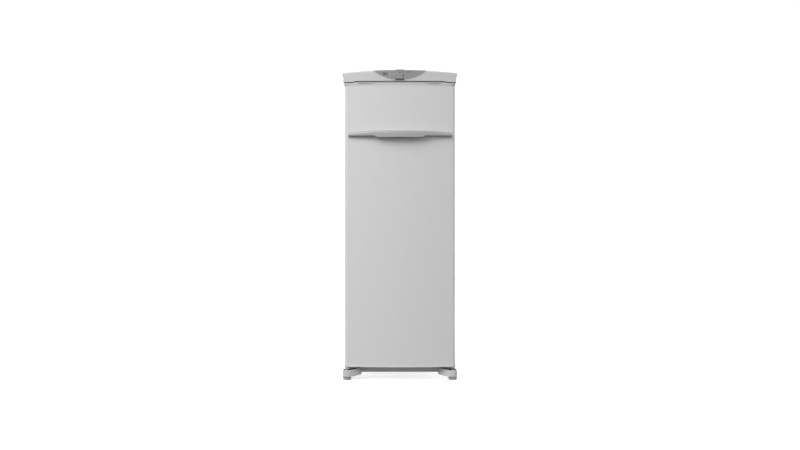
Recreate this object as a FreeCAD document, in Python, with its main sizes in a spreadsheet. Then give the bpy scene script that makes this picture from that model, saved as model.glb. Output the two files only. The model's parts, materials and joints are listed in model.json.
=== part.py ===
import FreeCAD, Part
import math
import os
import Sketcher

# Driving dimensions in millimetres, angles in degrees.
SIZES = {
    # insulated cabinet
    "cabinet_width": 606.0,
    "cabinet_depth": 545.0,
    "cabinet_bottom": 70.0,
    "cabinet_top": 1619.5,
    "sheet_steel": 0.8,
    "bend_radius": 2.4,
    "front_flange": 40.0,
    "rear_flange": 12.0,
    "wall_insulation": 56.0,
    "liner_wall": 2.0,
    "bay_depth": 190.0,
    "bay_height": 235.0,
    # door
    "door_inset": 3.0,
    "door_side": 54.0,
    "door_bow": 20.0,
    "door_lift": 3.0,
    "door_drop": 6.0,
    "door_round": 14.0,
    "trim_height": 11.0,
    "trim_reach": 3.0,
    "trim_proud": 1.0,
    "trim_rise": 5.0,
    "trim_ends": 66.0,
    "trim_ramp": 21.0,
    "trim_edge": 4.0,
    "scoop_inset": 52.0,
    "scoop_half": 44.0,
    "scoop_margin": 1.0,
    "scoop_height": 7.5,
    "scoop_depth": 3.5,
    "seal_gap": 10.0,
    "seal_width": 22.0,
    "seal_inset": 12.0,
    "seal_margin": 2.0,
    "dyke_height": 34.0,
    "dyke_inset": 42.0,
    "dyke_round": 5.0,
    "dyke_groove": 6.0,
    "groove_depth": 1.0,
    # handle
    "handle_margin": 21.0,
    "handle_reach": 34.0,
    "handle_drop": 291.0,
    "handle_lip": 4.5,
    "handle_end": 23.0,
    "handle_crown": 9.5,
    "handle_flat": 120.0,
    "handle_wide": 150.0,
    "handle_bulge": 13.0,
    "handle_tip": 20.0,
    "handle_round": 14.0,
    "handle_edge": 10.0,
    "grip_half": 119.0,
    "grip_slope": 9.0,
    "grip_wall": 7.0,
    "grip_back": 3.0,
    "grip_ceiling": 12.0,
    # top cover and controls
    "cover_overhang": 4.0,
    "cover_lip": 5.0,
    "lip_height": 14.0,
    "cover_height": 51.5,
    "cover_crown": 13.0,
    "cover_round": 8.0,
    "cover_wall": 3.0,
    "lens_half": 148.0,
    "lens_rise": 8.5,
    "lens_height": 52.0,
    "lens_depth": 38.0,
    "lens_proud": 0.8,
    "lens_wall": 3.0,
    "lens_gap": 0.4,
    "tab_half": 23.0,
    "tab_height": 1.7,
    "tab_depth": 10.0,
    "notch_rise": 3.0,
    "notch_height": 5.0,
    "notch_depth": 5.0,
    "display_x": -78.0,
    "display_rise": 34.0,
    "display_width": 27.0,
    "display_height": 13.0,
    "freeze_x": -32.0,
    "freeze_rise": 33.0,
    "power_x": 19.0,
    "power_rise": 23.0,
    "button_radius": 5.5,
    "button_depth": 10.0,
    "button_proud": 1.4,
    "light_radius": 2.0,
    "light_rise": 43.0,
    "light_pitch": 11.0,
    "board_width": 230.0,
    "board_height": 34.0,
    "board_sheet": 1.6,
    "board_setback": 17.0,
    # hinges
    "hinge_inset": 13.0,
    "hinge_offset": 25.0,
    "hinge_plate": 3.0,
    "lower_plate": 4.0,
    "plate_reach": 62.0,
    "plate_width": 66.0,
    "plate_nose": 10.0,
    "nose_bulge": 8.5,
    "pin_radius": 4.0,
    "pin_head": 6.5,
    "bush_radius": 7.0,
    "bush_flange": 8.5,
    "bush_lip": 1.5,
    "screw_radius": 2.5,
    "screw_head": 5.0,
    "screw_cap": 2.4,
    "screw_length": 16.0,
    # feet, crossbar and rollers
    "crossbar_drop": 34.0,
    "crossbar_depth": 38.0,
    "crossbar_setback": 2.0,
    "crossbar_sheet": 2.0,
    "foot_overhang": 9.0,
    "foot_width": 101.0,
    "foot_blunt": 35.5,
    "foot_low": 20.0,
    "foot_over": 18.0,
    "foot_rise": 13.0,
    "foot_front": 6.0,
    "foot_corner": 20.0,
    "foot_sweep": 30.0,
    "foot_lift": 9.0,
    "foot_edge": 3.0,
    "foot_wall": 6.0,
    "foot_floor": 12.0,
    "boss_radius": 12.0,
    "tongue_height": 12.0,
    "pad_radius": 23.0,
    "pad_height": 19.7,
    "pad_round": 4.0,
    "pad_inset": 23.5,
    "pad_y": 32.0,
    "stem_radius": 5.0,
    "stem_drop": 6.0,
    "roller_radius": 20.0,
    "roller_width": 22.0,
    "roller_side": 41.0,
    "roller_inset": 42.0,
    "axle_radius": 4.0,
    # inside
    "duct_depth": 85.0,
    "duct_wall": 3.0,
    "slot_width": 56.0,
    "slot_height": 8.0,
    "rail_width": 18.0,
    "rail_height": 14.0,
    "glass": 4.0,
    "shelf_setback": 70.0,
    "shelf_trim": 14.0,
    "trim_depth": 16.0,
    "drawer_setback": 56.0,
    "drawer_side": 21.0,
    "drawer_wall": 2.5,
    "drawer_front": 4.0,
    "drawer_gap": 24.0,
    "drawer_drop": 45.0,
    "drawer_round": 14.0,
    "rim_width": 4.0,
    "pull_half": 95.0,
    "pull_reach": 20.0,
    "pull_height": 20.0,
    "pull_wall": 2.5,
    "pull_drop": 30.0,
    "pivot_block": 12.0,
    "pivot_size": 20.0,
    "pivot_radius": 3.0,
    "pivot_drop": 24.0,
    "flap_margin": 9.0,
    "barrel_radius": 5.0,
    # evaporator and fan
    "fin_margin": 77.0,
    "fin_pitch": 17.0,
    "fin_sheet": 0.6,
    "fin_low": 70.0,
    "fin_height": 200.0,
    "coil_radius": 4.0,
    "coil_pitch": 40.0,
    "coil_columns": 36.0,
    "heater_radius": 3.0,
    "fan_lift": 96.0,
    "fan_radius": 53.0,
    "fan_hub": 14.0,
    "fan_length": 18.0,
    "fan_tilt": 34.0,
    "blade_chord": 26.0,
    "blade_sheet": 1.8,
    "shroud_half": 70.0,
    "motor_radius": 24.0,
    "motor_length": 25.0,
    "arm_width": 8.0,
    "shaft_radius": 2.5,
    # machine bay
    "tray_drop": 24.0,
    "tray_sheet": 2.0,
    "compressor_x": -60.0,
    "compressor_radius": 75.0,
    "compressor_height": 172.0,
    "compressor_round": 20.0,
    "compressor_dome": 34.0,
    "seam_height": 78.0,
    "seam_width": 5.0,
    "sole_width": 190.0,
    "sole_depth": 116.0,
    "sole_sheet": 3.0,
    "grommet_radius": 11.0,
    "grommet_height": 14.0,
    "stub_radius": 6.0,
    "stub_reach": 92.0,
    "stub_offset": 35.0,
    "starter_reach": 118.0,
    "starter_half": 32.0,
    "starter_height": 78.0,
    "gland_radius": 8.0,
    "cord_radius": 4.0,
    "pan_width": 196.0,
    "pan_depth": 136.0,
    "pan_height": 28.0,
    "drain_radius": 8.0,
    "drain_wall": 1.5,
    # condenser
    "condenser_space": 28.0,
    "condenser_low": 420.0,
    "condenser_pitch": 62.0,
    "condenser_margin": 88.0,
    "riser_margin": 35.0,
    "line_radius": 2.4,
    "wire_radius": 0.8,
    "wire_pitch": 14.0,
    "clip_width": 8.0,
    "drier_radius": 9.0,
    "drier_length": 96.0,
    "line_bend": 16.0,
}

LEVELS = 6
CONDENSER_PASSES = 17
COIL_ROWS = 5
FAN_BLADES = 5
SLOTS_PER_LEVEL = 5
SEAT = 0.3
OVERCUT = 1.0
TOUCH = 0.05
QUARTER_SAGITTA = 1.0 - math.sqrt(0.5)

doc = FreeCAD.newDocument("Freezer")
sheet = doc.addObject("Spreadsheet::Sheet", "Sizes")


class Size:
    """A length kept as expression text together with its present value."""

    def __init__(self, text, value):
        self.text = text
        self.value = value

    def __add__(self, other):
        other = size(other)
        return Size(f"({self.text} + {other.text})", self.value + other.value)

    def __sub__(self, other):
        other = size(other)
        return Size(f"({self.text} - {other.text})", self.value - other.value)

    def __mul__(self, other):
        other = size(other)
        return Size(f"({self.text} * {other.text})", self.value * other.value)

    def __truediv__(self, other):
        other = size(other)
        return Size(f"({self.text} / {other.text})", self.value / other.value)

    def __radd__(self, other):
        return size(other) + self

    def __rsub__(self, other):
        return size(other) - self

    def __rmul__(self, other):
        return size(other) * self

    def __neg__(self):
        return size(0) - self

    def root(self):
        return Size(f"sqrt({self.text})", math.sqrt(self.value))


class Named:
    """The sheet's dimensions, one attribute for each alias."""

    def __init__(self):
        for row, (alias, value) in enumerate(SIZES.items(), 1):
            sheet.set(f"A{row}", alias)
            sheet.set(f"B{row}", str(value))
            sheet.setAlias(f"B{row}", alias)
            setattr(self, alias, Size(f"Sizes.{alias}", value))


def size(value):
    if isinstance(value, Size):
        return value
    return Size(f"({float(value)!r})", float(value))


d = Named()
doc.recompute()

# Planes along the depth, from the handle's front to the condenser's back.
TOTAL_DEPTH = (d.handle_reach + d.door_bow + d.door_side + d.seal_gap
               + d.cabinet_depth + d.condenser_space)
HANDLE_FRONT = -TOTAL_DEPTH / 2
DOOR_APEX = HANDLE_FRONT + d.handle_reach
DOOR_EDGE = DOOR_APEX + d.door_bow
DOOR_BACK = DOOR_EDGE + d.door_side
CABINET_FRONT = DOOR_BACK + d.seal_gap
CABINET_BACK = CABINET_FRONT + d.cabinet_depth
BAY_FRONT = CABINET_BACK - d.bay_depth
LINER_BACK = CABINET_BACK - d.wall_insulation
STEP_FRONT = BAY_FRONT - d.wall_insulation
DUCT_FRONT = LINER_BACK - d.duct_depth
SHELF_FRONT = CABINET_FRONT + d.shelf_setback
DRAWER_FRONT = CABINET_FRONT + d.drawer_setback
BACK_INNER = CABINET_BACK - 2 * d.sheet_steel
CONDENSER_Y = CABINET_BACK + d.condenser_space - d.drier_radius
CROSSBAR_FRONT = CABINET_FRONT + d.crossbar_setback

# Half widths and places across, all taken from the cabinet's side.
CABINET_SIDE = d.cabinet_width / 2
STEEL_SIDE = CABINET_SIDE - d.sheet_steel
LINER_SIDE = CABINET_SIDE - d.wall_insulation
DOOR_HALF = CABINET_SIDE - d.door_inset
TRIM_HALF = DOOR_HALF + d.trim_reach
TRIM_FLAT = TRIM_HALF - d.trim_ends
SCOOP_X = TRIM_FLAT - d.scoop_inset
SEAL_OUTER = DOOR_HALF - d.seal_inset
HANDLE_HALF = DOOR_HALF - d.handle_margin
COVER_HALF = CABINET_SIDE + d.cover_overhang
FOOT_OUTER = CABINET_SIDE + d.foot_overhang
FOOT_INNER = FOOT_OUTER - d.foot_width
FOOT_APEX = FOOT_OUTER - d.foot_blunt
PAD_X = FOOT_OUTER - d.pad_inset
ROLLER_X = CABINET_SIDE - d.roller_side
DYKE_HALF = LINER_SIDE - d.dyke_inset
DRAWER_HALF = LINER_SIDE - d.drawer_side
FIN_HALF = LINER_SIDE - d.fin_margin
CONDENSER_HALF = CABINET_SIDE - d.condenser_margin
RISER_X = CABINET_SIDE - d.riser_margin
HINGE_X = CABINET_SIDE - d.hinge_inset
HINGE_Y = CABINET_FRONT - d.hinge_offset

# Heights, counted from the cabinet's bottom or from its top.
CROSSBAR_LOW = d.cabinet_bottom - d.crossbar_drop
TONGUE_LOW = CROSSBAR_LOW - d.tongue_height
FOOT_HIGH = CROSSBAR_LOW + d.foot_over
STEM_TOP = FOOT_HIGH - d.stem_drop
TRAY_LOW = d.cabinet_bottom - d.tray_drop
TRAY_TOP = TRAY_LOW + d.tray_sheet
BAY_TOP = d.cabinet_bottom + d.bay_height
LINER_FLOOR = d.cabinet_bottom + d.wall_insulation
LINER_TOP = d.cabinet_top - d.wall_insulation
STEP_TOP = BAY_TOP + d.wall_insulation
PITCH = (LINER_TOP - LINER_FLOOR) / LEVELS
DOOR_BOTTOM = d.cabinet_bottom + d.door_lift
DOOR_TOP = d.cabinet_top - d.door_drop
SKIN_LOW = DOOR_BOTTOM + d.trim_height
SKIN_HIGH = DOOR_TOP - d.trim_height
HANDLE_LOW = DOOR_TOP - d.handle_drop
COVER_FLOOR = d.cabinet_top + d.trim_rise + d.cover_wall
COVER_EDGE = d.cabinet_top + d.cover_height
LENS_LOW = d.cabinet_top + d.lens_rise
LENS_TIP = LENS_LOW + d.lens_height
TAB_TOP = COVER_EDGE + d.cover_crown + d.tab_height
NOTCH_LOW = LENS_LOW + d.notch_rise
NOTCH_HIGH = NOTCH_LOW + d.notch_height
DISPLAY_Z = LENS_LOW + d.display_rise
LIGHT_Z = LENS_LOW + d.light_rise
FIN_LOW = STEP_TOP + d.fin_low
FAN_Z = FIN_LOW + d.fin_height + d.fan_lift
COMPRESSOR_TOP = TRAY_TOP + SEAT + d.compressor_height

# Middles along the depth.
FIN_Y = (DUCT_FRONT + d.duct_wall + LINER_BACK) / 2
COMPRESSOR_Y = (BAY_FRONT + CABINET_BACK) / 2
ROLLER_Y = CABINET_BACK - d.roller_inset


def level(number):
    """Height of the floor of one compartment, counted from the bottom."""
    return LINER_FLOOR + number * PITCH


def bind(item, name, length):
    item.setExpression(name, size(length).text)


def place(item, x, y, z, rotation=None):
    item.Placement = FreeCAD.Placement(FreeCAD.Vector(), rotation or FreeCAD.Rotation())
    for axis, length in zip("xyz", (x, y, z)):
        bind(item, f"Placement.Base.{axis}", length)
    return item


# Sketches and solid features.

def rect(left, low, right, high):
    return [(left, low), (right, low), (right, high), (left, high)]


def rounded(left, low, right, high, radius):
    """Rectangle with four round corners."""
    bulge = -radius * QUARTER_SAGITTA
    return [(left + radius, low), (right - radius, low, bulge), (right, low + radius),
            (right, high - radius, bulge), (right - radius, high), (left + radius, high, bulge),
            (left, high - radius), (left, low + radius, bulge)]


def arc_centre(start, end, sagitta):
    """Centre and radius of the arc that bulges left of the way from start to end."""
    chord = end - start
    left = FreeCAD.Vector(-chord.y, chord.x, 0).normalize()
    radius = (chord.Length ** 2 / 4 + sagitta ** 2) / (2 * abs(sagitta))
    offset = sagitta - math.copysign(radius, sagitta)
    return (start + end) / 2 + left * offset, radius


def add_arc(sketch, start, end, sagitta):
    """Arc geometry and which of its two ends is the start, which the end."""
    centre, radius = arc_centre(start, end, sagitta)
    first, last = (end, start) if sagitta > 0 else (start, end)
    angles = [math.atan2(p.y - centre.y, p.x - centre.x) for p in (first, last)]
    if angles[1] < angles[0]:
        angles[1] += 2 * math.pi
    circle = Part.Circle(centre, FreeCAD.Vector(0, 0, 1), radius)
    index = sketch.addGeometry(Part.ArcOfCircle(circle, *angles))
    return (index, 2, 1) if sagitta > 0 else (index, 1, 2)


def constrain(sketch, kind, where, length):
    index = sketch.addConstraint(Sketcher.Constraint(kind, *where, size(length).value))
    bind(sketch, f"Constraints[{index}]", length)


def draw_loop(sketch, outline):
    """Closed outline of lines; a third value makes the side an arc with that sagitta."""
    points = [FreeCAD.Vector(size(p[0]).value, size(p[1]).value, 0) for p in outline]
    following = points[1:] + points[:1]
    sides = []
    for corner, start, end in zip(outline, points, following):
        if len(corner) == 3:
            sides.append(add_arc(sketch, start, end, size(corner[2]).value))
        else:
            sides.append((sketch.addGeometry(Part.LineSegment(start, end)), 1, 2))
    for side, after in zip(sides, sides[1:] + sides[:1]):
        sketch.addConstraint(Sketcher.Constraint("Coincident", side[0], side[2], after[0], after[1]))
    for side, corner, after in zip(sides, outline, outline[1:] + outline[:1]):
        constrain(sketch, "DistanceX", (-1, 1, side[0], side[1]), corner[0])
        constrain(sketch, "DistanceY", (-1, 1, side[0], side[1]), corner[1])
        if len(corner) == 3:
            across = size(after[0]) - corner[0]
            upward = size(after[1]) - corner[1]
            sagitta = size(corner[2]) if size(corner[2]).value > 0 else -size(corner[2])
            radius = (across * across + upward * upward) / (8 * sagitta) + sagitta / 2
            constrain(sketch, "Radius", (side[0],), radius)


def draw_circle(sketch, x, y, radius):
    centre = FreeCAD.Vector(size(x).value, size(y).value, 0)
    circle = Part.Circle(centre, FreeCAD.Vector(0, 0, 1), size(radius).value)
    index = sketch.addGeometry(circle)
    constrain(sketch, "DistanceX", (-1, 1, index, 3), x)
    constrain(sketch, "DistanceY", (-1, 1, index, 3), y)
    constrain(sketch, "Radius", (index,), radius)


def profile(body, plane, at, outlines):
    """Sketch on one of the body's own planes, moved along that plane's world axis."""
    origin = [f for f in body.Origin.OriginFeatures if f.Role == plane + "_Plane"][0]
    sketch = body.newObject("Sketcher::SketchObject", body.Label + "_sketch")
    sketch.AttachmentSupport = [(origin, "")]
    sketch.MapMode = "FlatFace"
    bind(sketch, "AttachmentOffset.Base.z", -size(at) if plane == "XZ" else at)
    for outline in outlines:
        if isinstance(outline, tuple):
            draw_circle(sketch, *outline)
        else:
            draw_loop(sketch, outline)
    return sketch


def piece(label):
    return doc.addObject("PartDesign::Body", label)


def pad(body, plane, at, outlines, length):
    """Material from the plane's position onward along the positive world axis."""
    sketch = profile(body, plane, at, outlines)
    feature = body.newObject("PartDesign::Pad", body.Label + "_pad")
    feature.Profile = sketch
    feature.Reversed = plane == "XZ"
    bind(feature, "Length", length)
    return feature


def pocket(body, plane, at, outlines, length):
    """Removal from the plane's position onward along the positive world axis."""
    sketch = profile(body, plane, at, outlines)
    feature = body.newObject("PartDesign::Pocket", body.Label + "_pocket")
    feature.Profile = sketch
    feature.Reversed = plane != "XZ"
    bind(feature, "Length", length)
    return feature


def revolve(body, outline):
    """Full turn about the body's own vertical axis of radius and height pairs."""
    sketch = profile(body, "XZ", 0, [outline])
    feature = body.newObject("PartDesign::Revolution", body.Label + "_turn")
    feature.Profile = sketch
    feature.ReferenceAxis = (sketch, ["V_Axis"])
    feature.Angle = 360
    return feature


def round_edges(body, radius, chosen):
    doc.recompute()
    base = body.Tip
    names = [f"Edge{n}" for n, edge in enumerate(base.Shape.Edges, 1) if chosen(edge.BoundBox)]
    feature = body.newObject("PartDesign::Fillet", body.Label + "_round")
    feature.Base = (base, names)
    bind(feature, "Radius", radius)
    return feature


def lies(box, x=None, y=None, z=None):
    """True when an edge's box is flat in each direction given, at the place given."""
    spans = ((x, box.XMin, box.XMax), (y, box.YMin, box.YMax), (z, box.ZMin, box.ZMax))
    for want, low, high in spans:
        if want is None:
            continue
        if abs(low - size(want).value) > TOUCH or abs(high - size(want).value) > TOUCH:
            return False
    return True


def block(label, low, high):
    """Plain box between two opposite corners."""
    item = doc.addObject("Part::Box", label)
    for name, start, end in zip(("Length", "Width", "Height"), low, high):
        bind(item, name, size(end) - start)
    return place(item, *low)


def rod(label, start, direction, radius, length):
    """Cylinder from a point along one world axis."""
    item = doc.addObject("Part::Cylinder", label)
    bind(item, "Radius", radius)
    bind(item, "Height", length)
    turn = FreeCAD.Rotation(FreeCAD.Vector(0, 0, 1), FreeCAD.Vector(*direction))
    return place(item, *start, rotation=turn)


def cut(label, base, *tools):
    """Base less every tool; only the last cut carries the label."""
    for tool in tools:
        name = label if tool is tools[-1] else label + "_stage"
        item = doc.addObject("Part::Cut", name)
        item.Base = base
        item.Tool = tool
        base = item
    return base


def common(label, first, second):
    item = doc.addObject("Part::Common", label)
    item.Base = first
    item.Tool = second
    return item


def fuse(label, items):
    item = doc.addObject("Part::MultiFuse", label)
    item.Shapes = items
    return item


def group(label, items):
    item = doc.addObject("Part::Compound", label)
    item.Links = items
    return item


def shaped(label, shape):
    item = doc.addObject("Part::Feature", label)
    item.Shape = shape
    item.Placement = FreeCAD.Placement()
    return item


def point(x, y, z):
    return FreeCAD.Vector(size(x).value, size(y).value, size(z).value)


def sweep(edges, radius):
    """Round bar along a smooth chain of edges."""
    path = Part.Wire(edges)
    start = edges[0].valueAt(edges[0].FirstParameter)
    along = edges[0].tangentAt(edges[0].FirstParameter)
    ring = Part.Wire(Part.Circle(start, along, size(radius).value).toShape())
    return path.makePipeShell([ring], True, False)


def bent_line(points, bend, radius):
    """Round bar through points, with an arc of one radius in place of every corner."""
    edges = []
    start = points[0]
    for before, corner, after in zip(points, points[1:], points[2:]):
        back = (before - corner).normalize()
        ahead = (after - corner).normalize()
        turn = back.getAngle(ahead)
        reach = bend / math.tan(turn / 2)
        into = corner + back * reach
        out = corner + ahead * reach
        middle = (back + ahead).normalize()
        top = corner + middle * (bend / math.sin(turn / 2) - bend)
        edges.append(Part.LineSegment(start, into).toShape())
        edges.append(Part.Arc(into, top, out).toShape())
        start = out
    edges.append(Part.LineSegment(start, points[-1]).toShape())
    return sweep(edges, radius)


def winding(rows, half):
    """Straight passes along X joined by half circles; rows are depth and height pairs."""
    edges = []
    side = 1.0
    for number, (y, z) in enumerate(rows):
        start = FreeCAD.Vector(side * half, y, z)
        end = FreeCAD.Vector(-side * half, y, z)
        edges.append(Part.LineSegment(start, end).toShape())
        if number + 1 < len(rows):
            onward = FreeCAD.Vector(end.x, *rows[number + 1])
            middle = (end + onward) / 2
            middle.x -= side * (onward - end).Length / 2
            edges.append(Part.Arc(end, middle, onward).toShape())
        side = -side
    return edges


# Cabinet.

def cabinet_shell(bores):
    """Folded wrap of two sides and top, with a front frame and a rear hem."""
    body = piece("cabinet_shell_wrap")
    low = d.cabinet_bottom
    high = d.cabinet_top
    inner = high - d.sheet_steel
    wrap = [(-CABINET_SIDE, low), (-CABINET_SIDE, high), (CABINET_SIDE, high), (CABINET_SIDE, low),
            (STEEL_SIDE, low), (STEEL_SIDE, inner), (-STEEL_SIDE, inner), (-STEEL_SIDE, low)]
    pad(body, "XZ", CABINET_FRONT, [wrap], d.cabinet_depth)
    window = CABINET_SIDE - d.front_flange
    frame = [rect(-CABINET_SIDE, low, CABINET_SIDE, high),
             rect(-window, low + d.front_flange, window, high - d.front_flange)]
    pad(body, "XZ", CABINET_FRONT, frame, d.sheet_steel)
    hem = CABINET_SIDE - d.rear_flange
    rear = [(-CABINET_SIDE, BAY_TOP), (-CABINET_SIDE, high), (CABINET_SIDE, high), (CABINET_SIDE, BAY_TOP),
            (hem, BAY_TOP), (hem, high - d.rear_flange), (-hem, high - d.rear_flange), (-hem, BAY_TOP)]
    pad(body, "XZ", CABINET_BACK - d.sheet_steel, [rear], d.sheet_steel)
    corners = (-CABINET_SIDE, CABINET_SIDE)
    round_edges(body, d.bend_radius, lambda box: any(lies(box, x, CABINET_FRONT) for x in corners))
    return cut("cabinet_shell", body, bores)


def back_panel():
    body = piece("back_panel")
    pad(body, "XZ", BACK_INNER, [rect(-STEEL_SIDE, BAY_TOP, STEEL_SIDE, d.cabinet_top - d.sheet_steel)],
        d.sheet_steel)
    return body


def base_pan(drain):
    """Bent sheet: floor of the cabinet, front wall and ceiling of the machine bay."""
    body = piece("base_pan_sheet")
    front = CABINET_FRONT + d.sheet_steel
    floor = d.cabinet_bottom
    bend = [(BACK_INNER, BAY_TOP), (BAY_FRONT, BAY_TOP), (BAY_FRONT, floor), (front, floor),
            (front, floor + d.sheet_steel), (BAY_FRONT - d.sheet_steel, floor + d.sheet_steel),
            (BAY_FRONT - d.sheet_steel, BAY_TOP + d.sheet_steel), (BACK_INNER, BAY_TOP + d.sheet_steel)]
    pad(body, "YZ", -STEEL_SIDE, [bend], 2 * STEEL_SIDE)
    return cut("base_pan", body, drain)


def cavity_outline(grow):
    """Side view of the food space with the step over the machine bay, grown outward."""
    front = CABINET_FRONT + d.sheet_steel + d.liner_wall - OVERCUT
    return [(front, LINER_FLOOR - grow), (STEP_FRONT + grow, LINER_FLOOR - grow),
            (STEP_FRONT + grow, STEP_TOP - grow), (LINER_BACK + grow, STEP_TOP - grow),
            (LINER_BACK + grow, LINER_TOP + grow), (front, LINER_TOP + grow)]


def cabinet_foam(drain, bores):
    body = piece("cabinet_foam_block")
    front = CABINET_FRONT + d.sheet_steel + d.liner_wall
    bay = BAY_FRONT - d.sheet_steel
    floor = d.cabinet_bottom + d.sheet_steel
    ceiling = d.cabinet_top - d.sheet_steel
    step = BAY_TOP + d.sheet_steel
    side = [(front, floor), (bay, floor), (bay, step), (BACK_INNER, step), (BACK_INNER, ceiling),
            (front, ceiling)]
    pad(body, "YZ", -STEEL_SIDE, [side], 2 * STEEL_SIDE)
    half = LINER_SIDE + d.liner_wall
    pocket(body, "YZ", -half, [cavity_outline(d.liner_wall)], 2 * half)
    return cut("cabinet_foam", body, drain, bores)


def inner_liner(drain):
    """Formed tub with a front lip, a step over the machine bay and shelf ledges."""
    body = piece("inner_liner_tub")
    lip = CABINET_FRONT + d.sheet_steel
    half = LINER_SIDE + d.liner_wall
    tub = cavity_outline(d.liner_wall)
    tub[0] = (lip, tub[0][1])
    tub[-1] = (lip, tub[-1][1])
    pad(body, "YZ", -half, [tub], 2 * half)
    pad(body, "XZ", lip, [rect(-STEEL_SIDE, d.cabinet_bottom + d.sheet_steel,
                               STEEL_SIDE, d.cabinet_top - d.sheet_steel)], d.liner_wall)
    space = cavity_outline(0)
    space[0] = (lip - OVERCUT, space[0][1])
    space[-1] = (lip - OVERCUT, space[-1][1])
    pocket(body, "YZ", -LINER_SIDE, [space], 2 * LINER_SIDE)
    ledges = []
    for number in range(1, LEVELS):
        top = level(number) - d.glass
        back = STEP_FRONT if number == 1 else DUCT_FRONT - d.duct_wall
        ledges.append(rect(SHELF_FRONT + d.trim_depth, top - d.rail_height, back, top))
    pad(body, "YZ", -LINER_SIDE, ledges, d.rail_width)
    pad(body, "YZ", LINER_SIDE - d.rail_width, ledges, d.rail_width)
    return cut("inner_liner", body, drain)


def drain_bore():
    start = (d.compressor_x, FIN_Y, BAY_TOP - OVERCUT)
    return rod("drain_bore", start, (0, 0, 1), d.drain_radius + SEAT, STEP_TOP - BAY_TOP + 2 * OVERCUT)


def drain_tube():
    """Straight tube with a flange that lies on the step of the liner."""
    body = piece("drain_tube")
    low = COMPRESSOR_TOP + d.pan_height + d.drain_radius
    high = STEP_TOP + SEAT
    inner = d.drain_radius - d.drain_wall
    flange = d.drain_radius * 3 / 2
    revolve(body, [(inner, low), (d.drain_radius, low), (d.drain_radius, high), (flange, high),
                   (flange, high + d.drain_wall), (inner, high + d.drain_wall)])
    return place(body, d.compressor_x, FIN_Y, 0)


def front_crossbar():
    """Channel under the cabinet's front edge, notched on the right for the hinge plate."""
    body = piece("front_crossbar")
    back = CROSSBAR_FRONT + d.crossbar_depth
    wall = d.crossbar_sheet
    channel = [(CROSSBAR_FRONT, CROSSBAR_LOW), (back, CROSSBAR_LOW), (back, CROSSBAR_LOW + wall),
               (CROSSBAR_FRONT + wall, CROSSBAR_LOW + wall), (CROSSBAR_FRONT + wall, d.cabinet_bottom - wall),
               (back, d.cabinet_bottom - wall), (back, d.cabinet_bottom), (CROSSBAR_FRONT, d.cabinet_bottom)]
    pad(body, "YZ", -STEEL_SIDE, [channel], 2 * STEEL_SIDE)
    notch = HINGE_X - d.plate_width - SEAT
    pocket(body, "XZ", CROSSBAR_FRONT - OVERCUT,
           [rect(notch, d.cabinet_bottom - d.lower_plate, STEEL_SIDE + OVERCUT, d.cabinet_bottom + OVERCUT)],
           d.crossbar_depth + 2 * OVERCUT)
    return body


def mirrored(outline, side):
    """Outline mirrored across the vertical plane when side is -1."""
    if side > 0:
        return outline
    flipped = [(-size(c[0]),) + tuple(c[1:2]) for c in outline]
    sagittas = [c[2] if len(c) == 3 else None for c in outline]
    points = flipped[::-1]
    turned = sagittas[::-1][1:] + sagittas[::-1][:1]
    return [p if s is None else p + (s,) for p, s in zip(points, turned)]


def foot_bracket(label, side):
    """Hollow moulded foot: blunt outside, swept back and rising inboard, with a tongue under the crossbar."""
    body = piece(label)
    front = DOOR_EDGE - d.foot_front
    bulge = d.foot_corner * QUARTER_SAGITTA
    corner = FOOT_OUTER - d.foot_corner
    plan = [(FOOT_INNER, CROSSBAR_FRONT), (FOOT_INNER, front + d.foot_sweep, -d.foot_edge),
            (FOOT_APEX, front), (corner, front, -bulge), (FOOT_OUTER, front + d.foot_corner),
            (FOOT_OUTER, CROSSBAR_FRONT)]
    top = FOOT_HIGH + d.foot_rise
    pad(body, "XY", d.foot_low, [mirrored(plan, side)], top - d.foot_low)
    slope = [(FOOT_INNER - OVERCUT, top), (FOOT_APEX, FOOT_HIGH), (FOOT_OUTER + OVERCUT, FOOT_HIGH),
             (FOOT_OUTER + OVERCUT, top + OVERCUT), (FOOT_INNER - OVERCUT, top + OVERCUT)]
    pocket(body, "XZ", front - OVERCUT, [mirrored(slope, side)], CROSSBAR_FRONT - front + 2 * OVERCUT)
    tongue = rect(FOOT_INNER, CROSSBAR_FRONT - OVERCUT, FOOT_OUTER - d.foot_corner,
                  CROSSBAR_FRONT + d.crossbar_depth)
    pad(body, "XY", TONGUE_LOW, [mirrored(tongue, side)], CROSSBAR_LOW - TONGUE_LOW)
    back = CROSSBAR_FRONT.value - TOUCH
    upper = FOOT_HIGH.value - TOUCH
    crease = side * FOOT_APEX
    round_edges(body, d.foot_edge,
                lambda box: box.ZMin > upper and box.YMin < back and not lies(box, x=crease))
    rise = [(FOOT_INNER - OVERCUT, d.foot_low - OVERCUT), (FOOT_APEX - d.foot_corner, d.foot_low - OVERCUT),
            (FOOT_APEX - d.foot_corner, d.foot_low), (FOOT_INNER - OVERCUT, d.foot_low + d.foot_lift)]
    pocket(body, "XZ", front - OVERCUT, [mirrored(rise, side)], CROSSBAR_FRONT - front + d.crossbar_depth)
    wall = d.foot_wall
    hollow = [(FOOT_INNER + wall, CROSSBAR_FRONT - wall), (FOOT_INNER + wall, front + d.foot_sweep + wall),
              (FOOT_APEX, front + wall), (corner, front + wall, -bulge + wall * QUARTER_SAGITTA),
              (FOOT_OUTER - wall, front + d.foot_corner), (FOOT_OUTER - wall, CROSSBAR_FRONT - wall)]
    boss = (side * PAD_X, front + d.pad_y, d.boss_radius)
    floor = d.foot_low + d.foot_floor
    pocket(body, "XY", floor, [mirrored(hollow, side), boss], top + OVERCUT - floor)
    pocket(body, "XY", d.foot_low - OVERCUT, [(side * PAD_X, front + d.pad_y, d.stem_radius + SEAT)],
           STEM_TOP - d.foot_low + 2 * OVERCUT)
    return body


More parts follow.
